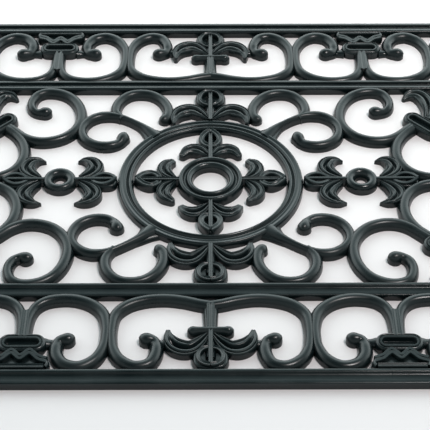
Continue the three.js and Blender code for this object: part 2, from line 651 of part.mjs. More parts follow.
// End panels: a rosette across the middle, with a pair of S scrolls on each side of it.
function addEndPanels() {
  const opening = [-endPanelHalfLength, endPanelHalfLength];
  const path = END_SCROLL_SHARES;
  const pair = (options) =>
    [1, -1].map((side) => scrollBar(path, ([x, y]) => [side * x * endPanelHalfLength, y * panelHalfDepth], options));
  const scrolls = fitInside(join(pair()), opening, [0, panelHalfDepth]);
  const cleared = cut(rosette(endPanelHalfLength), [...pair(growth), mirrored(pair(growth), [0, 1])]);
  const boss = fitInside(cleared, opening, [-panelHalfDepth, panelHalfDepth]);
  for (const { name, flipX, flipY } of quadrants) {
    place(`end_scroll_${name}`, scrolls, { x: (flipX ? -1 : 1) * endPanelAxis, flipY });
  }
  for (const { name, flipX } of ends) place(`end_rosette_${name}`, boss, { x: (flipX ? -1 : 1) * endPanelAxis });
}

addRails();
addMedallion();
addRingScrolls();
addCorners();
addPalmettes();
addSideRosettes();
addBands();
addEndPanels();

export default mat;
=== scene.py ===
# The looks of a moulded rubber door mat, an openwork scroll grille that lies flat on the floor.
# Shapes are worked out in millimetres in the mat's own frame, and become metres when an object is made.
import math

import bpy
import numpy as np
from mathutils import Matrix, Vector


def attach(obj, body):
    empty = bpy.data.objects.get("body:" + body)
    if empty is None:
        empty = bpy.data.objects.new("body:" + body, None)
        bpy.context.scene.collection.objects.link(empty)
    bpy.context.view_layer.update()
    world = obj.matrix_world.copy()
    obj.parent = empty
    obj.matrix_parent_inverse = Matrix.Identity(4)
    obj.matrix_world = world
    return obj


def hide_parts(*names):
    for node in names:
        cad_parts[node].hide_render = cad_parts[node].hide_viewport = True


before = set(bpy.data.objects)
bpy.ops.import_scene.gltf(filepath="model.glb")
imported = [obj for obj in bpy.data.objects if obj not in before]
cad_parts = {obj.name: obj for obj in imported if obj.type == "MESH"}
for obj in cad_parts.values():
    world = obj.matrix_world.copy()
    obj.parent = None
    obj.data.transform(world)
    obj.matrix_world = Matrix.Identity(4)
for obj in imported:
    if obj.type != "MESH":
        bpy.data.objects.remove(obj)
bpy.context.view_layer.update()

MM = 0.001

# The frame
FLEUR_UNIT_LENGTH = 155
CLASP_UNIT_LENGTH = 132.5
PANEL_DEPTH = 244
BAND_CLEAR = 74
END_PANEL_LENGTH = 113
RAIL_WIDTH = 15
RAIL_HEIGHT = 7.6
INNER_RAIL_WIDTH = 14
RING_HEIGHT = 6.8

# Scroll bars
BAR_WIDTH = 10.4
BAR_HEIGHT = 8.2
BULB_RADIUS = 6.3
KNOB_RISE = 1
HOOK_END_RADIUS = 5.7
FLARE_HEIGHT = 5.2

# Rings and bored hubs
PALMETTE_LENGTH = 42.3
RING_WIDTH = 13.8
HUB_BORE_RADIUS = 15.1
HUB_WIDTH = 13.5
HUB_HEIGHT = 8.8
ROSETTE_BORE_RADIUS = 4.8
ROSETTE_WIDTH = 9.7

# Leaves, lobes and stems
LEAF_HEIGHT = 7.4
LEAF_WIDTH = 16.5
LEAF_SPREAD = 34.3
LEAF_RISE = 14
SMALL_LEAF_WIDTH = 13.5
SMALL_LEAF_SPREAD = 26
SMALL_LEAF_RISE = 8.3
CURLED_LEAF_WIDTH = 15.4
CURLED_LEAF_RISE = 13.5
LOBE_HEIGHT = 8.4
LOBE_WIDTH = 28
LOBE_LENGTH = 24
POINTED_LOBE_WIDTH = 22
POINTED_LOBE_LENGTH = 25
SMALL_LOBE_WIDTH = 19.4
SMALL_LOBE_LENGTH = 23
FAN_LOBE_WIDTH = 25
FAN_LEAF_WIDTH = 15.5
STEM_WIDTH = 8.4
SMALL_STEM_WIDTH = 6.4
FOOT_WIDTH = 12.6
STEM_OVERLAP = 1
LEAF_NUB_RADIUS = 2
CURLED_LEAF_NUB_RADIUS = 1
SMALL_LEAF_NUB_RADIUS = 3.4
LOBE_RING_HALF_WIDTH = 9.6
LOBE_RING_LENGTH = 18.6
LOBE_RING_INSET = 2.9
POINTED_RING_HALF_WIDTH = 7.9
SMALL_RING_HALF_WIDTH = 6.4
LOBE_BEAD_WIDTH = 4.3
POINTED_BEAD_WIDTH = 5.8
SMALL_BEAD_WIDTH = 3.2
RIB_WIDTH = 4.4
THIN_RIB_WIDTH = 3

# Cross-bars, clasps and crowns
CROSS_BAR_LENGTH = 36.4
CROSS_BAR_WIDTH = 8.4
CROSS_BAR_HEIGHT = 8.6
CROSS_BAR_END_RADIUS = 4.7
CLASP_LENGTH = 37.5
CORNER_CLASP_LENGTH = 39.6
CLASP_WIDTH = 18
CLASP_HEIGHT = 8.5
CROWN_LENGTH = 41.4
CROWN_DEPTH = 18.6
CROWN_HEIGHT = 8.6
CROWN_BASE_HEIGHT = 4.8
CROWN_BAR_WIDTH = 4.4
CROWN_ZIGZAG_WIDTH = 3.3
CROWN_ZIGZAG_SPREAD = 1.7
NECK_RIB_WIDTH = 7.4

# Low ties from an ornament to the loops beside it
TIE_WIDTH = 9.5
TIE_HEIGHT = 5.6

# How closely curves are followed: steps in millimetres, and counts round a form
SWEEP_STEP = 1.6
FINE_STEP = 1.2
BULB_STEPS = 9
LOBE_STEPS = 44
CLASP_STEPS = 14
BOSS_SEGMENTS = 48
HUB_SEGMENTS = 96
RING_SEGMENTS = 160

# Rubber: its black, and a paler colour on it that is partly dust in cloudy patches and partly painted light
# kept to the crests, so that the low parts stay dark as painted shade; and the limits between which cloudy
# patches show
RUBBER_COLOUR = (0.0036, 0.0075, 0.0084, 1)
DUST_AND_CREST_LIGHT_COLOUR = (0.013, 0.0195, 0.0205, 1)
PATCH_SCALE = 38
PATCH_DETAIL = 6
CLOUD_LIMITS = (0.35, 0.7)
GLOSS_LIMITS = (0.3, 0.7)
# Heights, as shares of the ring's height, over which the pale colour comes in: painted light on the crests,
# painted shade lower down
CREST_LIGHT_SHARES = (0.35, 1.1)
GRAIN_SCALE = 900
GRAIN_DETAIL = 4
GRAIN_STRENGTH = 0.5
GRAIN_DEPTH = 0.05
SCROLL_GRAIN_DEPTH = 0.04
SPECULAR_LEVEL = 0.38
CREASE_DEGREES = 38

# How much pale dust and painted crest light each finish has, and its roughness in glossy and in dull
# patches
RAIL_DUST_AND_CREST_LIGHT = 0.7
SCROLL_DUST_AND_CREST_LIGHT = 0.5
ORNAMENT_DUST_AND_CREST_LIGHT = 1
RAIL_GLOSS = (0.17, 0.27)
SCROLL_GLOSS = (0.24, 0.36)
ORNAMENT_GLOSS = (0.2, 0.32)

# Centre lines, as shares of the room that each fills

# Loops beside a fleur and beside a clasp: half the unit's length, and the band's clear depth
FLEUR_LOOP_SHARES = [
    (-0.03, 0.12), (0.107, 0.093), (0.268, 0.046), (0.456, 0.018), (0.671, 0.039), (0.846, 0.113),
    (0.955, 0.239), (0.981, 0.408), (0.98, 0.565), (0.957, 0.722), (0.876, 0.865), (0.735, 0.943),
    (0.602, 0.906), (0.54, 0.78), (0.535, 0.675), (0.562, 0.605), (0.63, 0.583),
]
CLASP_LOOP_SHARES = [
    (0.03, 0.55), (0.034, 0.42), (0.042, 0.32), (0.06, 0.23), (0.108, 0.134), (0.219, 0.051),
    (0.393, 0.014), (0.582, 0.025), (0.771, 0.096), (0.902, 0.218), (0.948, 0.38), (0.953, 0.549),
    (0.933, 0.694), (0.838, 0.858), (0.669, 0.945), (0.492, 0.906), (0.402, 0.79), (0.394, 0.685),
    (0.428, 0.605), (0.515, 0.583),
]
# Arms of a ring scroll: half the panel's depth, both ways
LOWER_ARM_SHARES = [
    (0.391, 0.477), (0.485, 0.573), (0.545, 0.62), (0.596, 0.655), (0.664, 0.692), (0.74, 0.715),
    (0.817, 0.71), (0.889, 0.666), (0.934, 0.596), (0.939, 0.519), (0.906, 0.443), (0.843, 0.394),
    (0.774, 0.377), (0.706, 0.386), (0.655, 0.421), (0.637, 0.464),
]
UPPER_ARM_SHARES = [
    (0.647, 0.672), (0.698, 0.749), (0.698, 0.834), (0.664, 0.906), (0.604, 0.958), (0.528, 0.975),
    (0.443, 0.96), (0.37, 0.906), (0.325, 0.83), (0.312, 0.757), (0.322, 0.7), (0.338, 0.68),
]
# Corner scrolls: from the panel's corner, over the room beside the ring scrolls and half its depth
CORNER_LOOP_SHARES = [
    (0.468, 0.412), (0.515, 0.458), (0.587, 0.525), (0.66, 0.563), (0.732, 0.574), (0.806, 0.563),
    (0.884, 0.526), (0.951, 0.455), (0.986, 0.37), (0.991, 0.277), (0.966, 0.17), (0.915, 0.085),
    (0.847, 0.032), (0.77, 0.008), (0.698, 0.013), (0.644, 0.047), (0.615, 0.111), (0.614, 0.174),
    (0.638, 0.226), (0.677, 0.249), (0.721, 0.245),
]
END_LOOP_SHARES = [
    (0.453, 0.4275), (0.487, 0.452), (0.545, 0.514), (0.593, 0.6), (0.612, 0.702), (0.6, 0.796),
    (0.557, 0.881), (0.485, 0.94), (0.387, 0.968), (0.277, 0.968), (0.17, 0.936), (0.089, 0.872),
    (0.052, 0.779), (0.056, 0.689), (0.098, 0.626), (0.166, 0.613), (0.217, 0.651), (0.213, 0.706),
]
# S scroll of an end panel: half its length and half its depth
END_SCROLL_SHARES = [
    (0.495, 0.417), (0.604, 0.391), (0.604, 0.328), (0.485, 0.289), (0.311, 0.289), (0.165, 0.34),
    (0.03, 0.421), (0.165, 0.502), (0.33, 0.566), (0.549, 0.604), (0.751, 0.664), (0.879, 0.749),
    (0.905, 0.843), (0.797, 0.915), (0.586, 0.948), (0.366, 0.93), (0.229, 0.868), (0.238, 0.783),
    (0.366, 0.736), (0.495, 0.757),
]
# Side leaves: their spread and rise
LEAF_PATH_SHARES = [
    (0.06, 0.07), (0.27, 0.67), (0.45, 1), (0.64, 1), (0.82, 0.74), (0.93, 0.26), (0.955, -0.2),
]
SMALL_LEAF_PATH_SHARES = [(0.08, -0.1), (0.36, 0.75), (0.6, 1), (0.84, 0.75), (1, 0.19)]
CURLED_LEAF_PATH_SHARES = [(0.1, 0), (0.36, 0.62), (0.63, 0.89), (0.88, 0.68), (1.03, 0.2), (1.02, -0.22)]
FAN_LEAF_PATH_SHARES = [
    (0.05, 0), (0.19, 0.36), (0.4, 0.73), (0.6, 0.88), (0.78, 0.86), (0.9, 0.68), (0.92, 0.42),
]

# Widths along those lines, as shares of the piece's width
LOWER_ARM_WIDTH_SHARES = [
    (0, 1.5), (0.05, 1.2), (0.12, 0.85), (0.2, 0.68), (0.25, 0.66), (0.31, 0.78), (0.4, 1.02), (0.56, 0.92),
    (0.75, 1.02), (1, 1),
]
FLARE_WIDTH_SHARES = [(0, 2.5), (0.3, 1.6), (0.65, 1), (1, 0.6)]
UPPER_ARM_WIDTH_SHARES = [(0, 0.7), (0.15, 1.02), (1, 1.02)]
LOOP_WIDTH_SHARES = [(0, 1.05), (0.7, 1.05), (0.9, 0.9), (1, 0.9)]
CORNER_WIDTH_SHARES = [(0, 0.45), (0.006, 0.85), (0.016, 1.05), (0.7, 1.05), (0.9, 0.9), (1, 0.9)]
FLEUR_LOOP_WIDTH_SHARES = [
    (0, 1.05), (0.4, 1.05), (0.46, 0.95), (0.52, 0.88), (0.58, 0.88), (0.64, 0.95), (0.7, 1.05),
    (0.88, 1.1), (1, 1),
]
CLASP_LOOP_WIDTH_SHARES = [
    (0, 0.8), (0.1, 0.84), (0.2, 1.02), (0.46, 1.05), (0.51, 0.95), (0.56, 0.88), (0.61, 0.88),
    (0.66, 0.95), (0.71, 1.05), (0.88, 1.14), (1, 1.05),
]
EVEN_SHARES = [(0, 1), (1, 1)]
LEAF_WIDTH_SHARES = [(0, 0.25), (0.2, 0.62), (0.4, 0.9), (0.55, 1), (0.72, 0.88), (0.88, 0.54), (1, 0.24)]
SMALL_LEAF_WIDTH_SHARES = [(0, 0.37), (0.25, 0.81), (0.5, 1), (0.75, 0.86), (1, 0.5)]
CURLED_LEAF_WIDTH_SHARES = [
    (0, 0.4), (0.2, 0.78), (0.4, 1), (0.58, 0.96), (0.75, 0.68), (0.88, 0.38), (1, 0.13),
]
FAN_LEAF_WIDTH_SHARES = [(0, 0.4), (0.2, 0.66), (0.45, 0.98), (0.65, 1), (0.85, 0.7), (1, 0.26)]
CROSS_BAR_WIDTH_SHARES = [(0, 0.9), (1, 0.9)]
TIE_WAIST_SHARES = [(0, 1.1), (0.5, 0.85), (1, 1.1)]
LOBE_WIDTH_SHARES = [(0, 0.3), (0.08, 0.6), (0.22, 0.87), (0.45, 1), (0.7, 0.98), (0.9, 0.75), (1, 0.5)]
POINTED_LOBE_WIDTH_SHARES = [(0, 0.35), (0.2, 0.82), (0.42, 1), (0.65, 0.86), (0.85, 0.5), (1, 0.05)]

# Heights along a bar, a leaf and a bead, as shares of the piece's height
ARM_HEIGHT_SHARES = [(0, 0.92), (0.08, 1), (1, 1)]
CORNER_HEIGHT_SHARES = [(0, 0.8), (0.008, 1.03), (0.03, 1.03), (0.07, 1), (1, 1)]
LEAF_HEIGHT_SHARES = [(0, 1), (0.8, 1), (1, 0.85)]
CURL_HEIGHT_SHARES = [(0, 1), (0.7, 1), (0.88, 0.8), (1, 0.5)]
BEAD_HEIGHT_SHARES = [(0, 0.88), (1, 1.12)]

# How deep a leaf's grooves are along its length, as shares of its section's third column
LEAF_RECESS_SHARES = [(0, 0.2), (0.16, 0.32), (0.36, 0.5), (0.7, 0.46), (0.88, 0.05), (1, 0)]
SMALL_LEAF_RECESS_SHARES = [(0, 0.36), (0.3, 0.32), (0.6, 0.26), (0.85, 0.1), (1, 0)]
CURL_RECESS_SHARES = [(0, 0.2), (0.2, 0.28), (0.4, 0.4), (0.65, 0.36), (0.85, 0.05), (1, 0)]

# Rings of beads on the lobes: shares along, and of half the ring's width
ROUND_RING_SHARES = [(0, 0), (0.067, 0.5), (0.25, 0.87), (0.5, 1), (0.75, 0.87), (0.933, 0.5), (1, 0)]
POINTED_RING_SHARES = [(0, 0), (0.05, 0.5), (0.2, 0.86), (0.4, 1), (0.65, 0.84), (0.85, 0.45), (1, 0)]
LENS_RING_SHARES = [(0, 0), (0.2, 0.66), (0.5, 1), (0.8, 0.66), (1, 0)]

# Edge, zigzag and end curls of a crown: shares of half its length, and of its depth from the rail
CROWN_EDGE_SHARES = [(1, 0), (1, 0.3), (0.93, 0.44), (0.78, 0.58), (0.6, 0.68), (0.34, 1), (0, 0.6)]
ZIGZAG_SHARES = [(0.98, 0.42), (0.65, 0.56), (0.333, 0.9), (0, 0.56)]
CROWN_CURL_SHARES = [(0.78, 0.5), (0.93, 0.42), (1, 0.26), (0.94, 0.1)]

# Places, as shares of the room that carries them
FLEUR_JUNCTION_SHARE = 0.52
CROSS_BAR_SHARE = 0.475
FLEUR_FOOT_SHARE = 0.12
CLASP_CENTRE_SHARE = 0.656
CLASP_RIB_SHARE = 0.21
CORNER_CLASP_SHARES = (0.393, 0.411)
FAN_JUNCTION_SHARE = 0.345
ROSETTE_TIP_SHARE = 0.48
RING_SCROLL_EDGE_SHARE = 0.947
FAN_LOBE_LENGTH_SHARE = 1.09
FAN_LEAF_SPREAD_SHARE = 0.926
FAN_LEAF_RISE_SHARE = 0.594
CLASP_TIE_SHARES = (0.25, 0.44, 0.62)
LEAF_TIE_SHARES = (0.425, 0.56, 0.63)

# Shares within a piece: the neck behind a knob, a round end, a dome, a stem, a hollow and a corner
NECK_PLACE_SHARE = 1.35
NECK_SPAN_SHARE = 0.55
NECK_WAIST_SHARE = 0.04
NECK_DIP_SHARE = 0.07
BULB_FOOT_SHARE = 0.45
BULB_EXPONENT = 0.85
STEM_HEIGHT_SHARE = 0.9
LOBE_HOLLOW_SHARES = (0.4, 0.62)
DOME_WIDTH_SHARE = 0.985
DOME_EXPONENT = 0.95
CORNER_SHARE = 0.09

# Cross sections, from one foot over the top to the other: shares of half the width and of the height
RAIL_SECTION_SHARES = [
    (0, 0), (0.01, 0.6), (0.025, 0.86), (0.055, 0.955), (0.1, 0.99), (0.16, 1), (0.25, 0.995),
    (0.275, 0.965), (0.29, 0.9), (0.302, 0.83), (0.325, 0.78), (0.37, 0.75), (0.42, 0.725), (0.48, 0.705),
    (0.54, 0.69), (0.62, 0.68), (0.68, 0.68), (0.71, 0.69), (0.725, 0.75), (0.734, 0.83), (0.742, 0.9),
    (0.76, 0.93), (0.83, 0.925), (0.9, 0.915), (0.945, 0.9), (0.968, 0.87), (0.985, 0.8), (0.996, 0.6),
    (1, 0),
]
RING_SECTION_SHARES = [
    (0, 0), (0.015, 0.35), (0.04, 0.62), (0.08, 0.82), (0.13, 0.95), (0.19, 1), (0.24, 0.98), (0.29, 0.9),
    (0.335, 0.78), (0.37, 0.68), (0.395, 0.66), (0.42, 0.72), (0.46, 0.83), (0.5, 0.9), (0.55, 0.92),
    (0.6, 0.89), (0.64, 0.87), (0.69, 0.9), (0.76, 0.98), (0.82, 1), (0.88, 0.96), (0.93, 0.84),
    (0.97, 0.62), (0.99, 0.35), (1, 0),
]
HUB_SECTION_SHARES = [
    (0, 0), (0.005, 0.3), (0.015, 0.55), (0.04, 0.72), (0.09, 0.84), (0.15, 0.92), (0.21, 0.98), (0.27, 1),
    (0.33, 0.985), (0.37, 0.93), (0.4, 0.84), (0.42, 0.74), (0.445, 0.66), (0.49, 0.62), (0.54, 0.62),
    (0.585, 0.66), (0.615, 0.74), (0.64, 0.86), (0.67, 0.95), (0.71, 0.99), (0.76, 1), (0.82, 0.99),
    (0.86, 0.95), (0.89, 0.86), (0.92, 0.7), (0.955, 0.45), (0.985, 0.2), (1, 0),
]
BOSS_SECTION_SHARES = [
    (0, 0), (0.01, 0.3), (0.06, 0.62), (0.15, 0.92), (0.26, 1.14), (0.4, 1.27), (0.57, 1.32), (0.72, 1.28),
    (0.84, 1.15), (0.93, 0.92), (0.98, 0.6), (1, 0),
]
# A leaf's section has a third column: how much of the recess that deepens at mid length it takes
LEAF_SECTION_SHARES = [
    (1, 0, 0), (0.985, 0.5, 0), (0.955, 0.75, 0), (0.91, 0.89, 0), (0.85, 0.95, 0), (0.79, 0.96, 0.05),
    (0.74, 0.95, 0.23), (0.7, 0.94, 0.33), (0.66, 0.95, 0.2), (0.6, 0.98, 0.02), (0.52, 1, 0),
    (0.4, 0.99, 0), (0.31, 0.97, 0.1), (0.24, 0.95, 0.4), (0.17, 0.93, 0.8), (0.09, 0.92, 1), (0, 0.92, 1),
    (-0.07, 0.93, 0.75), (-0.13, 0.95, 0.35), (-0.2, 0.98, 0.05), (-0.3, 1, 0), (-0.41, 0.99, 0),
    (-0.5, 0.96, 0.12), (-0.56, 0.94, 0.28), (-0.61, 0.93, 0.32), (-0.67, 0.94, 0.2), (-0.75, 0.95, 0.03),
    (-0.83, 0.93, 0), (-0.9, 0.84, 0), (-0.96, 0.64, 0), (-0.99, 0.35, 0), (-1, 0, 0),
]
RIB_SECTION_SHARES = [
    (1, 0), (0.99, 0.55), (0.955, 0.76), (0.89, 0.89), (0.78, 0.97), (0.63, 1), (0.47, 0.995), (0.31, 0.97),
    (0.16, 0.94), (0.06, 0.925), (-0.06, 0.925), (-0.16, 0.94), (-0.31, 0.97), (-0.47, 0.995), (-0.63, 1),
    (-0.78, 0.97), (-0.89, 0.89), (-0.955, 0.76), (-0.99, 0.55), (-1, 0),
]
FLAT_RIB_SECTION_SHARES = [
    (1, 0), (0.98, 0.6), (0.93, 0.8), (0.83, 0.93), (0.66, 0.99), (0.4, 1), (0, 0.98), (-0.4, 1),
    (-0.66, 0.99), (-0.83, 0.93), (-0.93, 0.8), (-0.98, 0.6), (-1, 0),
]
# From an outline inwards: shares of the way to its middle line, and of the height
LOBE_SECTION_SHARES = [
    (1, 0), (0.99, 0.3), (0.965, 0.52), (0.93, 0.66), (0.88, 0.74), (0.82, 0.77), (0.75, 0.77), (0.7, 0.66),
    (0.65, 0.5), (0.58, 0.42), (0.04, 0.4),
]
CLASP_SECTION_SHARES = [
    (1, 0), (0.99, 0.5), (0.965, 0.72), (0.92, 0.86), (0.85, 0.95), (0.77, 0.98), (0.7, 0.95), (0.66, 0.88),
    (0.63, 0.88), (0.6, 0.96), (0.57, 1), (0.5, 1.005), (0.44, 1), (0.41, 0.97), (0.385, 0.88),
    (0.365, 0.72), (0.35, 0.56), (0.32, 0.5), (0.04, 0.5),
]
CROWN_SECTION_SHARES = [(1, 0), (0.985, 0.6), (0.96, 0.85), (0.92, 0.96), (0.86, 1), (0.04, 1)]

# Sizes worked out from those above
panel_half_depth = PANEL_DEPTH / 2
band_inner_edge = panel_half_depth + INNER_RAIL_WIDTH
rail_inner_edge = band_inner_edge + BAND_CLEAR
end_rail_inner_edge = (3 * FLEUR_UNIT_LENGTH + 2 * CLASP_UNIT_LENGTH) / 2
end_panel_half_length = END_PANEL_LENGTH / 2
end_panel_axis = end_rail_inner_edge - end_panel_half_length
panel_half_length = end_rail_inner_edge - END_PANEL_LENGTH - INNER_RAIL_WIDTH
ring_outer_radius = panel_half_depth - PALMETTE_LENGTH
ring_inner_radius = ring_outer_radius - RING_WIDTH
hub_outer_radius = HUB_BORE_RADIUS + HUB_WIDTH
rosette_outer_radius = ROSETTE_BORE_RADIUS + ROSETTE_WIDTH
corner_span = panel_half_length - RING_SCROLL_EDGE_SHARE * panel_half_depth
fan_room = FAN_JUNCTION_SHARE * min(corner_span, panel_half_depth)
rosette_tip = panel_half_length - ROSETTE_TIP_SHARE * corner_span


# Curves and tables

def smooth_line(points, spacing):
    """Points about a spacing apart on the centripetal Catmull-Rom curve through the given ones."""
    p = np.array(points, float)
    p = np.vstack([2 * p[0] - p[1], p, 2 * p[-1] - p[-2]])
    line = []
    for k in range(1, len(p) - 2):
        knots = np.cumsum([0] + [np.linalg.norm(p[k + i] - p[k + i - 1]) ** 0.5 for i in range(3)])
        count = max(2, round(np.linalg.norm(p[k + 1] - p[k]) / spacing))
        for t in np.linspace(knots[1], knots[2], count, endpoint=False):
            near = [blend(p[k - 1 + i], p[k + i], knots[i], knots[i + 1], t) for i in range(3)]
            mid = [blend(near[i], near[i + 1], knots[i], knots[i + 2], t) for i in range(2)]
            line.append(blend(mid[0], mid[1], knots[1], knots[2], t))
    return np.array(line + [p[-2]])


def blend(a, b, start, end, t):
    return a + (b - a) * ((t - start) / (end - start))


def eased(table, places):
    """Values of a table at the places, on a smooth curve that stays between neighbouring entries."""
    at, value = np.array(table, float).T
    slope = np.gradient(value, at)
    k = np.clip(np.searchsorted(at, places, side="right") - 1, 0, len(at) - 2)
    width = at[k + 1] - at[k]
    t = np.clip((places - at[k]) / width, 0, 1)
    low, high = value[k], value[k + 1]
    curve = low * (1 + 2 * t) * (1 - t) ** 2 + high * t**2 * (3 - 2 * t)
    curve += width * (slope[k] * t * (1 - t) ** 2 - slope[k + 1] * t**2 * (1 - t))
    return np.clip(curve, np.minimum(low, high), np.maximum(low, high))


def scaled(shares, across, along):
    return [(x * across, y * along) for x, y in shares]


def round_section(wall, steps):
    """A bar's dome over upright walls."""
    turns = np.linspace(0, math.pi, steps + 1)
    side = np.sign(np.cos(turns)) * np.abs(np.cos(turns)) ** DOME_EXPONENT
    up = wall + (1 - wall) * np.sin(turns)
    return [(1, 0), *zip(side * DOME_WIDTH_SHARE, up), (-1, 0)]


BAR_SECTION = round_section(wall=0.14, steps=14)
LOW_SECTION = round_section(wall=0.3, steps=8)
STEM_SECTION = round_section(wall=0.35, steps=12)


# Shells: closed surfaces as an array of points with a list of faces

def inside_out(faces):
    return [tuple(reversed(face)) for face in faces]


def bridge(rings, count):
    """Faces between successive closed rings of points, each ring going over the top from left to right."""
    faces = []
    for r in range(rings - 1):
        for k in range(count):
            a, b = r * count + k, r * count + (k + 1) % count
            faces.append((a, b, b + count, a + count))
    return faces


def capped(points, rings, count):
    """The shell of rings of points, with a flat face over the first and the last ring."""
    caps = [tuple(reversed(range(count))), tuple(range((rings - 1) * count, rings * count))]
    return np.array(points), bridge(rings, count) + caps


def bar_shell(
    path, widths, width, height, section, heights=EVEN_SHARES, bulb=0, knob=0, step=SWEEP_STEP, recess=None,
):
    """A bar along a line on the floor, whose end may swell to a round knob behind a slight neck."""
    line = smooth_line(path, step)
    run = np.concatenate([[0], np.cumsum(np.linalg.norm(np.diff(line, axis=0), axis=1))])
    share = run / run[-1]
    half = eased(widths, share) * width / 2
    tall = eased(heights, share) * height
    along = np.gradient(line, axis=0)
    along /= np.linalg.norm(along, axis=1)[:, None]
    deep = eased(recess, share) if recess else np.zeros(len(line))
    if bulb:
        to_end = run[-1] - run
        if knob:
            neck = np.exp(-((to_end / bulb - NECK_PLACE_SHARE) / NECK_SPAN_SHARE) ** 2)
            half = half * (1 - NECK_WAIST_SHARE * neck)
            tall = tall * (1 - NECK_DIP_SHARE * neck)
        half = np.maximum(half, np.sqrt(np.clip(bulb**2 - to_end**2, 0, None)))
        tall = tall + knob * np.clip(1 - (to_end / bulb) ** 2, 0, 1)
        turns = np.linspace(0, math.pi / 2, BULB_STEPS)[1:-1]
        fall = BULB_FOOT_SHARE + (1 - BULB_FOOT_SHARE) * np.cos(turns) ** BULB_EXPONENT
        line = np.vstack([line, line[-1] + along[-1] * bulb * np.sin(turns)[:, None]])
        along = np.vstack([along, np.repeat(along[-1:], len(turns), 0)])
        half = np.concatenate([half, bulb * np.cos(turns)])
        tall = np.concatenate([tall, tall[-1] * fall])
        deep = np.concatenate([deep, np.zeros(len(turns))])
    across = np.stack([-along[:, 1], along[:, 0]], 1)
    points = []
    for at, left, wide, high, low in zip(line, across, half, tall, deep):
        for side, up, *sunk in section:
            level = up - (sunk[0] * low if sunk else 0)
            points.append((*(at + left * wide * side), high * level))
    return capped(points, len(line), len(section))


def straight_bar(start, end, width, height, section, foot=1):
    return bar_shell([start, end], [(0, foot), (1, 1)], width, height, section, step=STEM_WIDTH / 2)


def scroll_bar(path, widths=LOOP_WIDTH_SHARES, heights=EVEN_SHARES, bulb=BULB_RADIUS, knob=KNOB_RISE):
    return bar_shell(
        path, widths, BAR_WIDTH, BAR_HEIGHT, BAR_SECTION, heights=heights, bulb=bulb, knob=knob,
    )


def ridge_line(points, width, height, section):
    """A bar along straight runs with tight corners."""
    corners = [np.array(points[0], float)]
    for a, b in zip(points, points[1:]):
        a, b = np.array(a, float), np.array(b, float)
        corners += [a + (b - a) * CORNER_SHARE, b - (b - a) * CORNER_SHARE]
    corners.append(np.array(points[-1], float))
    return bar_shell(corners, EVEN_SHARES, width, height, section, step=FINE_STEP / 2)


def mound_shell(outline, middle, section, height):
    """A raised form whose section runs from its outline in to its middle line."""
    outline, middle = np.array(outline, float), np.array(middle, float)
    points = []
    for share, up in section:
        for x, y in middle + (outline - middle) * share:
            points.append((x, y, height * up))
    return capped(points, len(section), len(outline))


def turned_shell(inner, outer, height, section, segments):
    """A ring whose section runs from its bore to its outside."""
    points = []
    for step in range(segments):
        angle = 2 * math.pi * step / segments
        for across, up in section:
            r = inner + (outer - inner) * across
            points.append((r * math.cos(angle), r * math.sin(angle), height * up))
    faces = [[v % len(points) for v in face] for face in bridge(segments + 1, len(section))]
    return np.array(points), inside_out(faces)


def rail_shell(half_length, width, mitred):
    """A rail along X with its outer edge towards +Y, with ends cut square or mitred."""
    points = []
    for end in (-1, 1):
        for across, up in RAIL_SECTION_SHARES:
            out = width * across
            reach = half_length + out if mitred else half_length
            points.append((end * reach, out, RAIL_HEIGHT * up))
    points, faces = capped(points, 2, len(RAIL_SECTION_SHARES))
    return points, inside_out(faces)


def placed(shells, x=0, y=0, turn=0, flip_x=False, flip_y=False):
    """The shells mirrored, then turned, then moved on the floor."""
    c, s = math.cos(turn), math.sin(turn)
    mirror = ((-1 if flip_x else 1), (-1 if flip_y else 1), 1)
    rotation = np.array([(c, s, 0), (-s, c, 0), (0, 0, 1)])
    return [
        ((points * mirror) @ rotation + (x, y, 0), inside_out(faces) if flip_x != flip_y else faces)
        for points, faces in shells
    ]


def both_sides(shells):
    return [*shells, *placed(shells, flip_x=True)]


# Materials

def map_range(nodes, link, value, limits):
    """A node that takes the value from between the limits to between 0 and 1."""
    node = nodes.new("ShaderNodeMapRange")
    node.inputs["From Min"].default_value, node.inputs["From Max"].default_value = limits
    link(value, node.inputs["Value"])
    return node


def product(nodes, link, a, b):
    node = nodes.new("ShaderNodeMath")
    node.operation = "MULTIPLY"
    link(a, node.inputs[0])
    link(b, node.inputs[1])
    return node.outputs[0]


def axis(nodes, link, vector, name):
    node = nodes.new("ShaderNodeSeparateXYZ")
    link(vector, node.inputs["Vector"])
    return node.outputs[name]


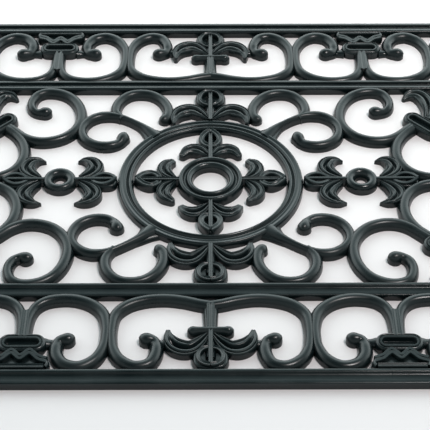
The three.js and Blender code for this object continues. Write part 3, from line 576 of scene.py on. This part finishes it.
def group_of_rubber_surface():
    """The rubber's colour with its dust and painted crest light, its gloss and grain, shared by every
    finish of the mat.
    """
    group = bpy.data.node_groups.new("moulded_rubber_surface", "ShaderNodeTree")
    face = group.interface
    for name, kind, value in [
        ("Colour", "NodeSocketColor", RUBBER_COLOUR),
        ("Dust And Crest Light Colour", "NodeSocketColor", DUST_AND_CREST_LIGHT_COLOUR),
        ("Dust And Crest Light", "NodeSocketFloat", SCROLL_DUST_AND_CREST_LIGHT),
        ("Gloss Low", "NodeSocketFloat", RAIL_GLOSS[0]),
        ("Gloss High", "NodeSocketFloat", RAIL_GLOSS[1]),
        ("Grain Scale", "NodeSocketFloat", GRAIN_SCALE),
    ]:
        socket = face.new_socket(name, in_out="INPUT", socket_type=kind)
        socket.default_value = value
    for name, kind in [
        ("Colour", "NodeSocketColor"),
        ("Roughness", "NodeSocketFloat"),
        ("Height", "NodeSocketFloat"),
    ]:
        face.new_socket(name, in_out="OUTPUT", socket_type=kind)
    nodes, link = group.nodes, group.links.new
    given = nodes.new("NodeGroupInput")
    made = nodes.new("NodeGroupOutput")
    place = nodes.new("ShaderNodeTexCoord").outputs["Object"]

    patches = nodes.new("ShaderNodeTexNoise")
    patches.inputs["Scale"].default_value = PATCH_SCALE
    patches.inputs["Detail"].default_value = PATCH_DETAIL
    link(place, patches.inputs["Vector"])
    grain = nodes.new("ShaderNodeTexNoise")
    grain.inputs["Detail"].default_value = GRAIN_DETAIL
    link(place, grain.inputs["Vector"])
    link(given.outputs["Grain Scale"], grain.inputs["Scale"])

    # The pale colour is mixed in only high up and in cloudy patches: partly dust, partly painted light on
    # the crests, leaving painted shade low down
    crest_light_limits = [share * RING_HEIGHT * MM for share in CREST_LIGHT_SHARES]
    crest_light = map_range(nodes, link, axis(nodes, link, place, "Z"), crest_light_limits)
    cloudy = map_range(nodes, link, patches.outputs["Fac"], CLOUD_LIMITS)
    dust_and_crest_light_mask = product(nodes, link, crest_light.outputs["Result"], cloudy.outputs["Result"])
    colour = nodes.new("ShaderNodeMix")
    colour.data_type = "RGBA"
    link(product(nodes, link, dust_and_crest_light_mask, given.outputs["Dust And Crest Light"]), colour.inputs["Factor"])
    link(given.outputs["Colour"], colour.inputs["A"])
    link(given.outputs["Dust And Crest Light Colour"], colour.inputs["B"])
    link(colour.outputs["Result"], made.inputs["Colour"])

    gloss = map_range(nodes, link, patches.outputs["Fac"], GLOSS_LIMITS)
    link(given.outputs["Gloss Low"], gloss.inputs["To Min"])
    link(given.outputs["Gloss High"], gloss.inputs["To Max"])
    link(gloss.outputs["Result"], made.inputs["Roughness"])
    link(grain.outputs["Fac"], made.inputs["Height"])
    return group


def rubber(name, surface, grain_depth, dust_and_crest_light, gloss):
    """One finish of the rubber: the shared surface with its own values."""
    material = bpy.data.materials.new(name)
    material.use_nodes = True
    nodes, link = material.node_tree.nodes, material.node_tree.links.new
    shader = nodes["Principled BSDF"]
    shader.inputs["Specular IOR Level"].default_value = SPECULAR_LEVEL
    coat = nodes.new("ShaderNodeGroup")
    coat.node_tree = surface
    # How much pale dust and painted crest light this finish takes
    coat.inputs["Dust And Crest Light"].default_value = dust_and_crest_light
    coat.inputs["Gloss Low"].default_value, coat.inputs["Gloss High"].default_value = gloss
    bump = nodes.new("ShaderNodeBump")
    bump.inputs["Strength"].default_value = GRAIN_STRENGTH
    bump.inputs["Distance"].default_value = grain_depth * MM
    link(coat.outputs["Colour"], shader.inputs["Base Color"])
    link(coat.outputs["Roughness"], shader.inputs["Roughness"])
    link(coat.outputs["Height"], bump.inputs["Height"])
    link(bump.outputs["Normal"], shader.inputs["Normal"])
    return material


surface = group_of_rubber_surface()
rail_rubber = rubber("rail_rubber", surface, GRAIN_DEPTH, RAIL_DUST_AND_CREST_LIGHT, RAIL_GLOSS)
scroll_rubber = rubber("scroll_rubber", surface, SCROLL_GRAIN_DEPTH, SCROLL_DUST_AND_CREST_LIGHT, SCROLL_GLOSS)
ornament_rubber = rubber("ornament_rubber", surface, GRAIN_DEPTH, ORNAMENT_DUST_AND_CREST_LIGHT, ORNAMENT_GLOSS)


def add_piece(node, shells, material):
    """One object in place of a CAD node, made of closed shells."""
    points, faces, start = [], [], 0
    for shell_points, shell_faces in shells:
        points.append(shell_points)
        faces += [tuple(v + start for v in face) for face in shell_faces]
        start += len(shell_points)
    mesh = bpy.data.meshes.new(f"{node}_rubber")
    mesh.from_pydata((np.vstack(points) * MM).tolist(), [], faces)
    mesh.shade_smooth()
    mesh.set_sharp_from_angle(angle=math.radians(CREASE_DEGREES))
    mesh.materials.append(material)
    piece = bpy.data.objects.new(f"{node}_rubber", mesh)
    bpy.context.scene.collection.objects.link(piece)
    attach(piece, "root")
    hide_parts(node)
    return piece


# Ornaments

def lobe_base(widths, width, start, length):
    """The low mound of a lobe, hollow in the middle, with its foot round a line of the Y axis."""
    turn = np.linspace(0, 2 * math.pi, LOBE_STEPS, endpoint=False)
    share = (1 - np.cos(turn)) / 2
    half = eased(widths, share) * width / 2
    side = np.sign(np.sin(turn)) * half * np.minimum(2 * np.abs(np.sin(turn)), 1)
    y = start + share * length
    hollow_start, hollow_end = [start + part * length for part in LOBE_HOLLOW_SHARES]
    outline = np.stack([side, y], 1)
    middle = np.stack([np.zeros_like(y), np.clip(y, hollow_start, hollow_end)], 1)
    return mound_shell(outline, middle, LOBE_SECTION_SHARES, LOBE_HEIGHT)


def lobe_ring(shares, half_width, start, length, bead_width, section=RIB_SECTION_SHARES):
    """A bead round the top of a lobe."""
    half = [(out * half_width, start + along * length) for along, out in shares]
    bead = bar_shell(
        half, EVEN_SHARES, bead_width, LOBE_HEIGHT, section, heights=BEAD_HEIGHT_SHARES, step=FINE_STEP,
    )
    return both_sides([bead])


def leaf_shell(
    path, widths, width, junction, spread, rise, nub,
    recess=LEAF_RECESS_SHARES, heights=LEAF_HEIGHT_SHARES,
):
    line = [(x * spread, junction + y * rise) for x, y in path]
    return bar_shell(
        line, widths, width, LEAF_HEIGHT, LEAF_SECTION_SHARES,
        heights=heights, bulb=nub, step=FINE_STEP, recess=recess,
    )


def fleur(start, lobe, ring, leaf, stem_width, rib_width, foot=1, rib_section=RIB_SECTION_SHARES):
    """A fleur along +Y: its stem with a double rib, a ringed lobe at the end and a leaf to each side."""
    stem_end = (0, lobe["start"] + lobe["length"] / 2)
    rib_end = (0, ring["start"] + ring["length"])
    stem_height = LEAF_HEIGHT * STEM_HEIGHT_SHARE
    return [
        lobe_base(**lobe),
        straight_bar((0, start), stem_end, stem_width, stem_height, STEM_SECTION, foot),
        straight_bar((0, start), rib_end, rib_width, LOBE_HEIGHT, rib_section),
        *lobe_ring(**ring),
        *both_sides([leaf_shell(**leaf)]),
    ]


def round_lobe(end):
    """The lobe that ends at a rail, and the ring of beads on it."""
    lobe = dict(widths=LOBE_WIDTH_SHARES, width=LOBE_WIDTH, start=end - LOBE_LENGTH, length=LOBE_LENGTH)
    ring_start = end - (LOBE_RING_INSET + LOBE_RING_LENGTH)
    ring = dict(
        shares=ROUND_RING_SHARES, half_width=LOBE_RING_HALF_WIDTH, start=ring_start,
        length=LOBE_RING_LENGTH, bead_width=LOBE_BEAD_WIDTH,
    )
    return lobe, ring


def large_fleur(start, junction, end, foot=1):
    lobe, ring = round_lobe(end)
    leaf = dict(
        path=LEAF_PATH_SHARES, widths=LEAF_WIDTH_SHARES, width=LEAF_WIDTH, junction=junction,
        spread=LEAF_SPREAD, rise=LEAF_RISE, nub=LEAF_NUB_RADIUS,
    )
    return fleur(start, lobe, ring, leaf, STEM_WIDTH, RIB_WIDTH, foot)


def hub_fleur():
    lobe_start = ring_inner_radius - POINTED_LOBE_LENGTH
    lobe = dict(
        widths=POINTED_LOBE_WIDTH_SHARES, width=POINTED_LOBE_WIDTH,
        start=lobe_start, length=POINTED_LOBE_LENGTH,
    )
    ring = dict(
        shares=POINTED_RING_SHARES, half_width=POINTED_RING_HALF_WIDTH,
        start=lobe_start + POINTED_BEAD_WIDTH / 2, length=POINTED_LOBE_LENGTH - POINTED_BEAD_WIDTH,
        bead_width=POINTED_BEAD_WIDTH,
    )
    leaf = dict(
        path=SMALL_LEAF_PATH_SHARES, widths=SMALL_LEAF_WIDTH_SHARES, width=SMALL_LEAF_WIDTH,
        junction=hub_outer_radius + SMALL_STEM_WIDTH / 2,
        spread=SMALL_LEAF_SPREAD - SMALL_LEAF_NUB_RADIUS / 2, rise=SMALL_LEAF_RISE,
        nub=SMALL_LEAF_NUB_RADIUS, recess=SMALL_LEAF_RECESS_SHARES,
    )
    return fleur(hub_outer_radius - HUB_WIDTH / 4, lobe, ring, leaf, SMALL_STEM_WIDTH, RIB_WIDTH)


def corner_fan():
    end = fan_room * math.sqrt(2)
    length = FAN_LOBE_LENGTH_SHARE * fan_room
    lobe = dict(widths=LOBE_WIDTH_SHARES, width=FAN_LOBE_WIDTH, start=end - length, length=length)
    ring = dict(
        shares=POINTED_RING_SHARES, half_width=LOBE_RING_HALF_WIDTH, start=end - length + LOBE_BEAD_WIDTH,
        length=length - 2 * LOBE_BEAD_WIDTH, bead_width=LOBE_BEAD_WIDTH,
    )
    leaf = dict(
        path=FAN_LEAF_PATH_SHARES, widths=FAN_LEAF_WIDTH_SHARES, width=FAN_LEAF_WIDTH, junction=0,
        spread=FAN_LEAF_SPREAD_SHARE * fan_room, rise=FAN_LEAF_RISE_SHARE * fan_room, nub=LEAF_NUB_RADIUS,
        heights=CURL_HEIGHT_SHARES,
    )
    return fleur(-STEM_OVERLAP, lobe, ring, leaf, STEM_WIDTH, RIB_WIDTH, FOOT_WIDTH / STEM_WIDTH)


def rosette(reach):
    """A bored boss with a fleur both ways along X."""
    lobe = dict(
        widths=LOBE_WIDTH_SHARES, width=SMALL_LOBE_WIDTH, start=reach - SMALL_LOBE_LENGTH,
        length=SMALL_LOBE_LENGTH,
    )
    ring = dict(
        shares=LENS_RING_SHARES, half_width=SMALL_RING_HALF_WIDTH, start=reach - SMALL_LOBE_LENGTH,
        length=SMALL_LOBE_LENGTH - SMALL_BEAD_WIDTH / 2, bead_width=SMALL_BEAD_WIDTH,
        section=FLAT_RIB_SECTION_SHARES,
    )
    leaf = dict(
        path=CURLED_LEAF_PATH_SHARES, widths=CURLED_LEAF_WIDTH_SHARES, width=CURLED_LEAF_WIDTH,
        junction=rosette_outer_radius + SMALL_STEM_WIDTH / 2,
        spread=SMALL_LEAF_SPREAD, rise=CURLED_LEAF_RISE, nub=CURLED_LEAF_NUB_RADIUS,
        recess=CURL_RECESS_SHARES, heights=CURL_HEIGHT_SHARES,
    )
    start = (ROSETTE_BORE_RADIUS + rosette_outer_radius) / 2
    arm = fleur(
        start, lobe, ring, leaf, SMALL_STEM_WIDTH, THIN_RIB_WIDTH, rib_section=FLAT_RIB_SECTION_SHARES,
    )
    boss = turned_shell(
        ROSETTE_BORE_RADIUS, rosette_outer_radius, RING_HEIGHT, BOSS_SECTION_SHARES, BOSS_SEGMENTS,
    )
    return [boss, *placed(arm, turn=-math.pi / 2), *placed(arm, turn=math.pi / 2)]


def clasp(length):
    """A slotted bar with straight sides and round ends, along X about the origin."""
    straight = (length - CLASP_WIDTH) / 2
    turn = np.linspace(-math.pi / 2, math.pi / 2, CLASP_STEPS)
    right = np.stack([straight + np.cos(turn) * CLASP_WIDTH / 2, np.sin(turn) * CLASP_WIDTH / 2], 1)
    outline = np.vstack([right, -right])
    middle = np.stack([np.sign(outline[:, 0]) * straight, np.zeros(len(outline))], 1)
    return mound_shell(outline, middle, CLASP_SECTION_SHARES, CLASP_HEIGHT)


def crown():
    """The crown between a clasp and its rail: a ribbed bar, a zigzag of two ridges and end curls."""

    def in_band(shares):
        return [(u * CROWN_LENGTH / 2, BAND_CLEAR - v * CROWN_DEPTH) for u, v in shares]

    right = in_band(CROWN_EDGE_SHARES)
    outline = [(-x, y) for x, y in right[::-1]] + right[:-1]
    centre = BAND_CLEAR - CROWN_BAR_WIDTH / 2
    middle = [(np.clip(x, -CROWN_LENGTH / 3, CROWN_LENGTH / 3), centre) for x, _ in outline]
    half = in_band(ZIGZAG_SHARES)
    zigzag = half + [(-x, y) for x, y in half[-2::-1]]
    reach = CROWN_LENGTH / 2 - CROWN_BAR_WIDTH / 2
    curl_line = in_band(CROWN_CURL_SHARES)
    curl = bar_shell(curl_line, EVEN_SHARES, CROWN_BAR_WIDTH, CROWN_HEIGHT, LOW_SECTION, step=FINE_STEP)
    ridges = []
    for apart in (-CROWN_ZIGZAG_SPREAD, CROWN_ZIGZAG_SPREAD):
        ridge = [(x, y + apart) for x, y in zigzag]
        ridges.append(ridge_line(ridge, CROWN_ZIGZAG_WIDTH, CROWN_HEIGHT, FLAT_RIB_SECTION_SHARES))
    return [
        mound_shell(outline, middle, CROWN_SECTION_SHARES, CROWN_BASE_HEIGHT),
        straight_bar((-reach, centre), (reach, centre), CROWN_BAR_WIDTH, CROWN_HEIGHT, RIB_SECTION_SHARES),
        *ridges,
        *both_sides([curl]),
    ]


def low_tie(shares, unit_length):
    """A low saddle along X between an ornament and the loop beside it."""
    start, end, inwards = shares
    y = inwards * BAND_CLEAR
    line = [(start * unit_length / 2, y), (end * unit_length / 2, y)]
    return bar_shell(
        line, TIE_WAIST_SHARES, TIE_WIDTH, TIE_HEIGHT, LOW_SECTION, heights=TIE_WAIST_SHARES,
    )


def band_fleur():
    """The fleur of a band's unit, with its ribbed foot, its cross-bar and its ties to the loops."""
    foot = FLEUR_FOOT_SHARE * BAND_CLEAR
    bar_y = CROSS_BAR_SHARE * BAND_CLEAR
    bar_end = (CROSS_BAR_LENGTH / 2 - CROSS_BAR_END_RADIUS, bar_y)
    cross_bar = bar_shell(
        [(0, bar_y), bar_end], CROSS_BAR_WIDTH_SHARES, CROSS_BAR_WIDTH, CROSS_BAR_HEIGHT, BAR_SECTION,
        bulb=CROSS_BAR_END_RADIUS,
    )
    return [
        *large_fleur(foot, FLEUR_JUNCTION_SHARE * BAND_CLEAR, BAND_CLEAR, FOOT_WIDTH / STEM_WIDTH),
        straight_bar((0, foot), (0, bar_y), NECK_RIB_WIDTH, BAR_HEIGHT, RIB_SECTION_SHARES),
        *both_sides([cross_bar, low_tie(LEAF_TIE_SHARES, FLEUR_UNIT_LENGTH)]),
    ]


def band_clasp():
    """The clasp of a band's unit, with its ribbed stem, its ties to the loops and its crown."""
    clasp_y = CLASP_CENTRE_SHARE * BAND_CLEAR
    rib_start, rib_end = (0, CLASP_RIB_SHARE * BAND_CLEAR), (0, clasp_y - CLASP_WIDTH / 3)
    return [
        *placed([clasp(CLASP_LENGTH)], y=clasp_y),
        straight_bar(rib_start, rib_end, NECK_RIB_WIDTH, CLASP_HEIGHT, RIB_SECTION_SHARES),
        *both_sides([low_tie(CLASP_TIE_SHARES, CLASP_UNIT_LENGTH)]),
        *crown(),
    ]


# The mat's members

QUADRANTS = {
    "back_right": dict(flip_x=False, flip_y=False),
    "back_left": dict(flip_x=True, flip_y=False),
    "front_right": dict(flip_x=False, flip_y=True),
    "front_left": dict(flip_x=True, flip_y=True),
}
ENDS = {"right": 1, "left": -1}
SIDES = {"back": 1, "front": -1}


def add_rails():
    long_rail = rail_shell(end_rail_inner_edge, RAIL_WIDTH, mitred=True)
    inner_rail = rail_shell(end_rail_inner_edge, INNER_RAIL_WIDTH, mitred=False)
    for name, side in SIDES.items():
        flip = side < 0
        add_piece(f"{name}_rail", placed([long_rail], y=side * rail_inner_edge, flip_y=flip), rail_rubber)
        inner = placed([inner_rail], y=side * panel_half_depth, flip_y=flip)
        add_piece(f"inner_{name}_rail", inner, rail_rubber)
    end_rail = rail_shell(rail_inner_edge, RAIL_WIDTH, mitred=True)
    cross_rail = rail_shell(panel_half_depth, INNER_RAIL_WIDTH, mitred=False)
    for name, side in ENDS.items():
        turn = -side * math.pi / 2
        add_piece(f"{name}_rail", placed([end_rail], x=side * end_rail_inner_edge, turn=turn), rail_rubber)
        cross = placed([cross_rail], x=side * panel_half_length, turn=turn)
        add_piece(f"{name}_cross_rail", cross, rail_rubber)


def add_medallion():
    ring = turned_shell(
        ring_inner_radius, ring_outer_radius, RING_HEIGHT, RING_SECTION_SHARES, RING_SEGMENTS,
    )
    hub = turned_shell(HUB_BORE_RADIUS, hub_outer_radius, HUB_HEIGHT, HUB_SECTION_SHARES, HUB_SEGMENTS)
    add_piece("medallion_ring", [ring], rail_rubber)
    add_piece("hub_ring", [hub], rail_rubber)
    shells = hub_fleur()
    for quarter, name in enumerate(("back", "left", "front", "right")):
        add_piece(f"hub_fleur_{name}", placed(shells, turn=quarter * math.pi / 2), ornament_rubber)


def from_corner(x, y):
    return panel_half_length - x * corner_span, panel_half_depth - y * panel_half_depth


def add_panel_scrolls():
    arm = scaled(LOWER_ARM_SHARES, panel_half_depth, panel_half_depth)
    lower = scroll_bar(arm, LOWER_ARM_WIDTH_SHARES, ARM_HEIGHT_SHARES)
    flare = bar_shell(arm[:3], FLARE_WIDTH_SHARES, BAR_WIDTH, FLARE_HEIGHT, LOW_SECTION)
    hook = scaled(UPPER_ARM_SHARES, panel_half_depth, panel_half_depth)
    upper = scroll_bar(hook, UPPER_ARM_WIDTH_SHARES, bulb=HOOK_END_RADIUS, knob=0)
    corner = [
        scroll_bar([from_corner(x, y) for x, y in shares], CORNER_WIDTH_SHARES, CORNER_HEIGHT_SHARES)
        for shares in (CORNER_LOOP_SHARES, END_LOOP_SHARES)
    ]
    clasp_x, clasp_y = from_corner(*CORNER_CLASP_SHARES)
    fan_x, fan_y = from_corner(FAN_JUNCTION_SHARE, FAN_JUNCTION_SHARE)
    diagonal = -math.pi / 4
    slotted = placed([clasp(CORNER_CLASP_LENGTH)], x=clasp_x, y=clasp_y, turn=diagonal)
    fan = placed(corner_fan(), x=fan_x, y=fan_y, turn=diagonal)
    for name, flips in QUADRANTS.items():
        add_piece(f"ring_scroll_{name}", placed([lower, flare, upper], **flips), scroll_rubber)
        add_piece(f"corner_scroll_{name}", placed(corner, **flips), scroll_rubber)
        add_piece(f"corner_clasp_{name}", placed(slotted, **flips), ornament_rubber)
        add_piece(f"corner_fan_{name}", placed(fan, **flips), ornament_rubber)


def add_palmettes_and_rosettes():
    palmette = large_fleur(ring_outer_radius - STEM_OVERLAP, ring_outer_radius, panel_half_depth)
    for name, side in SIDES.items():
        add_piece(f"palmette_{name}", placed(palmette, flip_y=side < 0), ornament_rubber)
    centre = (ring_outer_radius + rosette_tip) / 2
    shells = rosette((rosette_tip - ring_outer_radius) / 2)
    for name, side in ENDS.items():
        beside = placed(shells, x=side * centre, flip_x=side < 0)
        add_piece(f"side_rosette_{name}", beside, ornament_rubber)


def add_bands():
    lengths = {"fleur": FLEUR_UNIT_LENGTH, "clasp": CLASP_UNIT_LENGTH}
    paths = {"fleur": FLEUR_LOOP_SHARES, "clasp": CLASP_LOOP_SHARES}
    widths = {"fleur": FLEUR_LOOP_WIDTH_SHARES, "clasp": CLASP_LOOP_WIDTH_SHARES}
    ornaments = {"fleur": band_fleur(), "clasp": band_clasp()}
    loops = {}
    for kind, length in lengths.items():
        loops[kind] = both_sides([scroll_bar(scaled(paths[kind], length / 2, BAND_CLEAR), widths[kind])])
    for name, side in SIDES.items():
        start = -end_rail_inner_edge
        for unit, kind in enumerate(("fleur", "clasp", "fleur", "clasp", "fleur"), 1):
            spot = dict(x=start + lengths[kind] / 2, y=side * band_inner_edge, flip_y=side < 0)
            add_piece(f"{name}_band_scrolls_{unit}", placed(loops[kind], **spot), scroll_rubber)
            add_piece(f"{name}_band_{kind}_{unit}", placed(ornaments[kind], **spot), ornament_rubber)
            start += lengths[kind]


def add_end_panels():
    pair = both_sides([scroll_bar(scaled(END_SCROLL_SHARES, end_panel_half_length, panel_half_depth))])
    for name, flips in QUADRANTS.items():
        spot = dict(x=(-1 if flips["flip_x"] else 1) * end_panel_axis, flip_y=flips["flip_y"])
        add_piece(f"end_scroll_{name}", placed(pair, **spot), scroll_rubber)
    shells = rosette(end_panel_half_length)
    for name, side in ENDS.items():
        add_piece(f"end_rosette_{name}", placed(shells, x=side * end_panel_axis), ornament_rubber)


# Studio, with its places in metres

FLOOR_REACH = 8
FLOOR_ROUGHNESS = 0.9
# The floor's colour, painted darker towards the front as painted shade because the light falls from behind,
# with a warm tint painted in against the room's cool light; and where along Y that change runs
FLOOR_SHADE_LIMITS = (-0.32, 0.16)
FLOOR_SHADED_FRONT = (0.65, 0.61, 0.618, 1)
FLOOR_LIT_BACK = (1, 0.93, 0.93, 1)

# The room's shades, from straight ahead up to overhead, and how bright it is from front to back
ROOM_SHADES = [
    (0.2, 0.86, 0.97, 0.98), (0.45, 0.9, 1, 1), (0.6, 0.84, 1, 1), (0.7, 0.42, 0.525, 0.535),
    (0.78, 0.22, 0.28, 0.285), (0.885, 0.19, 0.243, 0.247), (0.93, 0.09, 0.12, 0.125),
    (0.96, 0.018, 0.024, 0.024),
]
ROOM_LOW = (0.9, 1, 1, 1)
ROOM_HIGH = (0.012, 0.016, 0.016, 1)
ROOM_LIMITS = (-0.15, 0.4)
ROOM_STRENGTHS = (0.6, 2.8)

LAMP_PLACE = (0.66, -0.3, 1.86)
LAMP_SIDE = 0.35
LAMP_POWER = 19.5
LAMP_COLOUR = (1, 0.96, 0.95)

# Camera: eye in millimetres and view direction, measured from the rails' and units' places in the photo
CAMERA_EYE = (1.2, -869.5, 800.7)
CAMERA_FORWARD = (0.0022, 0.72044, -0.69351)
FOCAL_PIXELS = 1372.256
FRAME_PIXELS = 430
SENSOR_WIDTH = 36
NEAREST = 0.01


def add_floor():
    mesh = bpy.data.meshes.new("studio_floor")
    far = FLOOR_REACH
    mesh.from_pydata([(-far, -far, 0), (far, -far, 0), (far, far, 0), (-far, far, 0)], [], [(0, 1, 2, 3)])
    floor_paint_with_shade = bpy.data.materials.new("white_floor_painted_shade")
    floor_paint_with_shade.use_nodes = True
    nodes, link = floor_paint_with_shade.node_tree.nodes, floor_paint_with_shade.node_tree.links.new
    place = nodes.new("ShaderNodeTexCoord").outputs["Object"]
    # Painted shade: the floor darkens from the back towards the front
    back = map_range(nodes, link, axis(nodes, link, place, "Y"), FLOOR_SHADE_LIMITS)
    white = nodes.new("ShaderNodeMix")
    white.data_type = "RGBA"
    link(back.outputs["Result"], white.inputs["Factor"])
    white.inputs["A"].default_value = FLOOR_SHADED_FRONT
    white.inputs["B"].default_value = FLOOR_LIT_BACK
    shader = nodes["Principled BSDF"]
    shader.inputs["Roughness"].default_value = FLOOR_ROUGHNESS
    link(white.outputs["Result"], shader.inputs["Base Color"])
    mesh.materials.append(floor_paint_with_shade)
    floor = bpy.data.objects.new("studio_floor", mesh)
    bpy.context.scene.collection.objects.link(floor)


def add_room():
    """A white backdrop that is dark overhead."""
    world = bpy.data.worlds.new("studio_room")
    world.use_nodes = True
    nodes, link = world.node_tree.nodes, world.node_tree.links.new
    backdrop = nodes["Background"]
    towards = nodes.new("ShaderNodeTexCoord").outputs["Generated"]
    glow = nodes.new("ShaderNodeValToRGB")
    link(axis(nodes, link, towards, "Z"), glow.inputs["Fac"])
    shades = glow.color_ramp.elements
    shades[0].color = ROOM_LOW
    shades[1].color = ROOM_HIGH
    for height, red, green, blue in ROOM_SHADES:
        shades.new(height).color = (red, green, blue, 1)
    link(glow.outputs["Color"], backdrop.inputs["Color"])
    side = map_range(nodes, link, axis(nodes, link, towards, "Y"), ROOM_LIMITS)
    side.interpolation_type = "SMOOTHSTEP"
    side.inputs["To Min"].default_value, side.inputs["To Max"].default_value = ROOM_STRENGTHS
    link(side.outputs["Result"], backdrop.inputs["Strength"])
    bpy.context.scene.world = world
    bpy.context.scene.view_settings.view_transform = "Standard"


def add_lamp():
    """One square lamp high over the mat, aimed at its middle."""
    light = bpy.data.lights.new("high_lamp", "AREA")
    light.shape = "RECTANGLE"
    light.size, light.size_y = LAMP_SIDE, LAMP_SIDE
    light.energy = LAMP_POWER
    light.color = LAMP_COLOUR
    lamp = bpy.data.objects.new("high_lamp", light)
    lamp.location = LAMP_PLACE
    lamp.rotation_euler = (-Vector(LAMP_PLACE)).to_track_quat("-Z", "Y").to_euler()
    bpy.context.scene.collection.objects.link(lamp)


def add_camera():
    camera = bpy.data.cameras.new("photo_camera")
    camera.sensor_width = SENSOR_WIDTH
    camera.lens = FOCAL_PIXELS * SENSOR_WIDTH / FRAME_PIXELS
    camera.clip_start = NEAREST
    eye = bpy.data.objects.new("photo_camera", camera)
    forward = Vector(CAMERA_FORWARD).normalized()
    right = forward.cross(Vector((0, 0, 1))).normalized()
    up = right.cross(forward)
    turn = Matrix((right, up, -forward)).transposed().to_4x4()
    eye.matrix_world = Matrix.Translation(Vector(CAMERA_EYE) * MM) @ turn
    bpy.context.scene.collection.objects.link(eye)
    bpy.context.scene.camera = eye


add_rails()
add_medallion()
add_panel_scrolls()
add_palmettes_and_rosettes()
add_bands()
add_end_panels()
add_floor()
add_room()
add_lamp()
add_camera()
